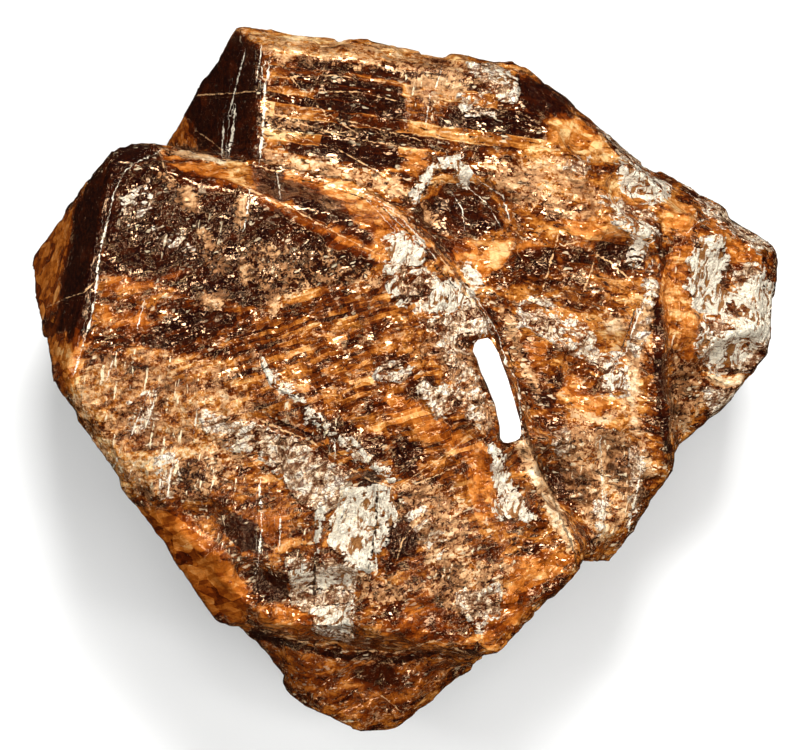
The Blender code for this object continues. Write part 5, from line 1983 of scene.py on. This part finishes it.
@dataclass
class PaperStrip:
    """The blank strip of paper: slightly waisted, with rounded ends, glued to the stone.

    Each row of sides is a place along the strip, with the left and the right edge there.
    """

    layout: Layout
    node: str = "specimen_label"
    slot: str = "label_paper"
    thickness: float = 0.26
    corner: float = 0.05
    crease_angle: float = 35.0
    sides: tuple[tuple[float, float, float], ...] = (
        (-7.3, -0.6, 0.6),
        (-7.1, -1.2, 1.3),
        (-6.5, -1.5, 1.8),
        (-5.0, -1.1, 2.1),
        (-1.9, -0.9, 2.1),
        (1.0, -1.3, 2.0),
        (2.8, -1.7, 1.8),
        (4.9, -1.8, 1.6),
        (6.1, -2.1, 1.3),
        (7.0, -1.5, 1.0),
        (7.4, -0.9, 0.6),
    )
    rows: int = 72
    columns: int = 12
    ripple: float = 0.05

    def build(self, groups: EffectGroups) -> bpy.types.Object:
        """Builds and dresses the strip.

        Args:
            groups: The shared effects.

        Returns:
            The finished piece.
        """
        bpy.ops.object.select_all(action="DESELECT")
        bpy.ops.mesh.primitive_grid_add(x_subdivisions=self.columns, y_subdivisions=self.rows, size=1.0)
        sheet = bpy.context.object
        sheet.name = "paper_strip"
        self.cut_outline(sheet)
        apply_modifier(sheet, "SOLIDIFY", thickness=self.thickness, offset=-1.0)
        apply_modifier(sheet, "BEVEL", width=self.corner, segments=2, limit_method="ANGLE")
        sheet.data.transform(Matrix.Scale(MM, 4) @ self.layout.label_matrix())
        bpy.ops.object.shade_smooth_by_angle(angle=math.radians(self.crease_angle))
        sheet.data.materials.append(PaperFinish().build(groups))
        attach(sheet, "root")
        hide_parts(self.node)
        return sheet

    def cut_outline(self, sheet: bpy.types.Object) -> None:
        """Shapes the square sheet between the strip's two sides, slightly rippled.

        Args:
            sheet: The sheet.
        """
        places, lefts, rights = np.array(self.sides).T
        for vertex in sheet.data.vertices:
            across, share = vertex.co.x + 0.5, vertex.co.y + 0.5
            along = places[0] + share * (places[-1] - places[0])
            left, right = np.interp(along, places, lefts), np.interp(along, places, rights)
            side = left + across * (right - left)
            lift = self.ripple * math.sin(along * 1.3 + side) * math.cos(side * 1.2 + along * 0.8)
            vertex.co = (side, along, self.layout.label_thickness - self.ripple + lift)


@dataclass(frozen=True)
class Softbox:
    """A lamp that looks at the stone from a direction: degrees, and metres."""

    name: str
    azimuth: float
    elevation: float
    distance: float
    width: float
    height: float
    glow: float
    mirrored: bool = True

    def build(self) -> None:
        """Adds the lamp."""
        data = bpy.data.lights.new(self.name, "AREA")
        data.shape = "RECTANGLE"
        data.size = self.width
        data.size_y = self.height
        data.energy = self.glow * math.pi * self.width * self.height
        lamp = bpy.data.objects.new(self.name, data)
        lamp.visible_glossy = self.mirrored
        bpy.context.scene.collection.objects.link(lamp)
        turn, rise = math.radians(self.azimuth), math.radians(self.elevation)
        back = Vector((math.cos(turn) * math.cos(rise), math.sin(turn) * math.cos(rise), math.sin(rise)))
        lamp.location = back * self.distance
        lamp.rotation_euler = back.to_track_quat("Z", "Y").to_euler()


@dataclass
class Studio:
    """Pale floor, soft lamps all round and the camera straight above."""

    layout: Layout
    floor_size: float = 4.0
    surround: Colour = (0.02, 0.02, 0.02)
    camera_lens: float = 200.0
    camera_reach: float = 10.0
    softboxes: tuple[Softbox, ...] = (
        Softbox("soft_ceiling", -120.0, 80.0, 1.1, 0.8, 0.8, 3.0, mirrored=False),
        Softbox("key", 84.0, 48.0, 1.1, 0.34, 0.28, 44.5),
        Softbox("fill_right", -25.0, 42.0, 1.1, 0.5, 0.5, 5.0, mirrored=False),
        Softbox("softbox_front", -100.0, 66.0, 1.0, 0.26, 0.12, 12.0),
        Softbox("softbox_right", -5.0, 62.0, 1.0, 0.12, 0.26, 12.0),
        Softbox("softbox_left", 172.0, 54.0, 1.0, 0.12, 0.26, 12.0),
    )

    def build(self) -> None:
        """Builds the floor, the lamps, the surroundings and the camera."""
        self.build_floor()
        for softbox in self.softboxes:
            softbox.build()
        self.build_world()
        self.build_camera()
        bpy.context.scene.view_settings.view_transform = "Standard"

    def build_floor(self) -> None:
        """Lays the pale floor under the stone."""
        bpy.ops.object.select_all(action="DESELECT")
        bpy.ops.mesh.primitive_plane_add(size=self.floor_size, location=(0.0, 0.0, 0.0))
        floor = bpy.context.object
        floor.name = "studio_floor"
        floor.data.materials.append(FloorFinish().build())

    def build_world(self) -> None:
        """Sets the dim even surroundings."""
        world = bpy.data.worlds.new("studio")
        bpy.context.scene.world = world
        world.use_nodes = True
        world.node_tree.nodes["Background"].inputs["Color"].default_value = (*self.surround, 1.0)

    def build_camera(self) -> None:
        """Hangs the camera over the stone, looking straight down."""
        data = bpy.data.cameras.new("camera")
        data.lens = self.camera_lens
        data.clip_end = self.camera_reach
        camera = bpy.data.objects.new("camera", data)
        bpy.context.scene.collection.objects.link(camera)
        shift = self.layout.shift()
        camera.location = (shift.x * MM, (shift.y + CAMERA_UP_OFFSET) * MM, CAMERA_HEIGHT * MM)
        camera.rotation_euler = (0.0, 0.0, 0.0)
        bpy.context.scene.camera = camera


def main() -> None:
    """Builds the studio and the pieces."""
    logging.basicConfig(level=logging.INFO, format="%(name)s: %(message)s")
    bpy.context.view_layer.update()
    layout = Layout()
    groups = EffectGroups()
    Studio(layout).build()
    for piece in (StoneBody(layout).build(groups), PaperStrip(layout).build(groups)):
        LOG.info("%s: %d faces", piece.name, len(piece.data.polygons))


if __name__ == "__main__":
    main()
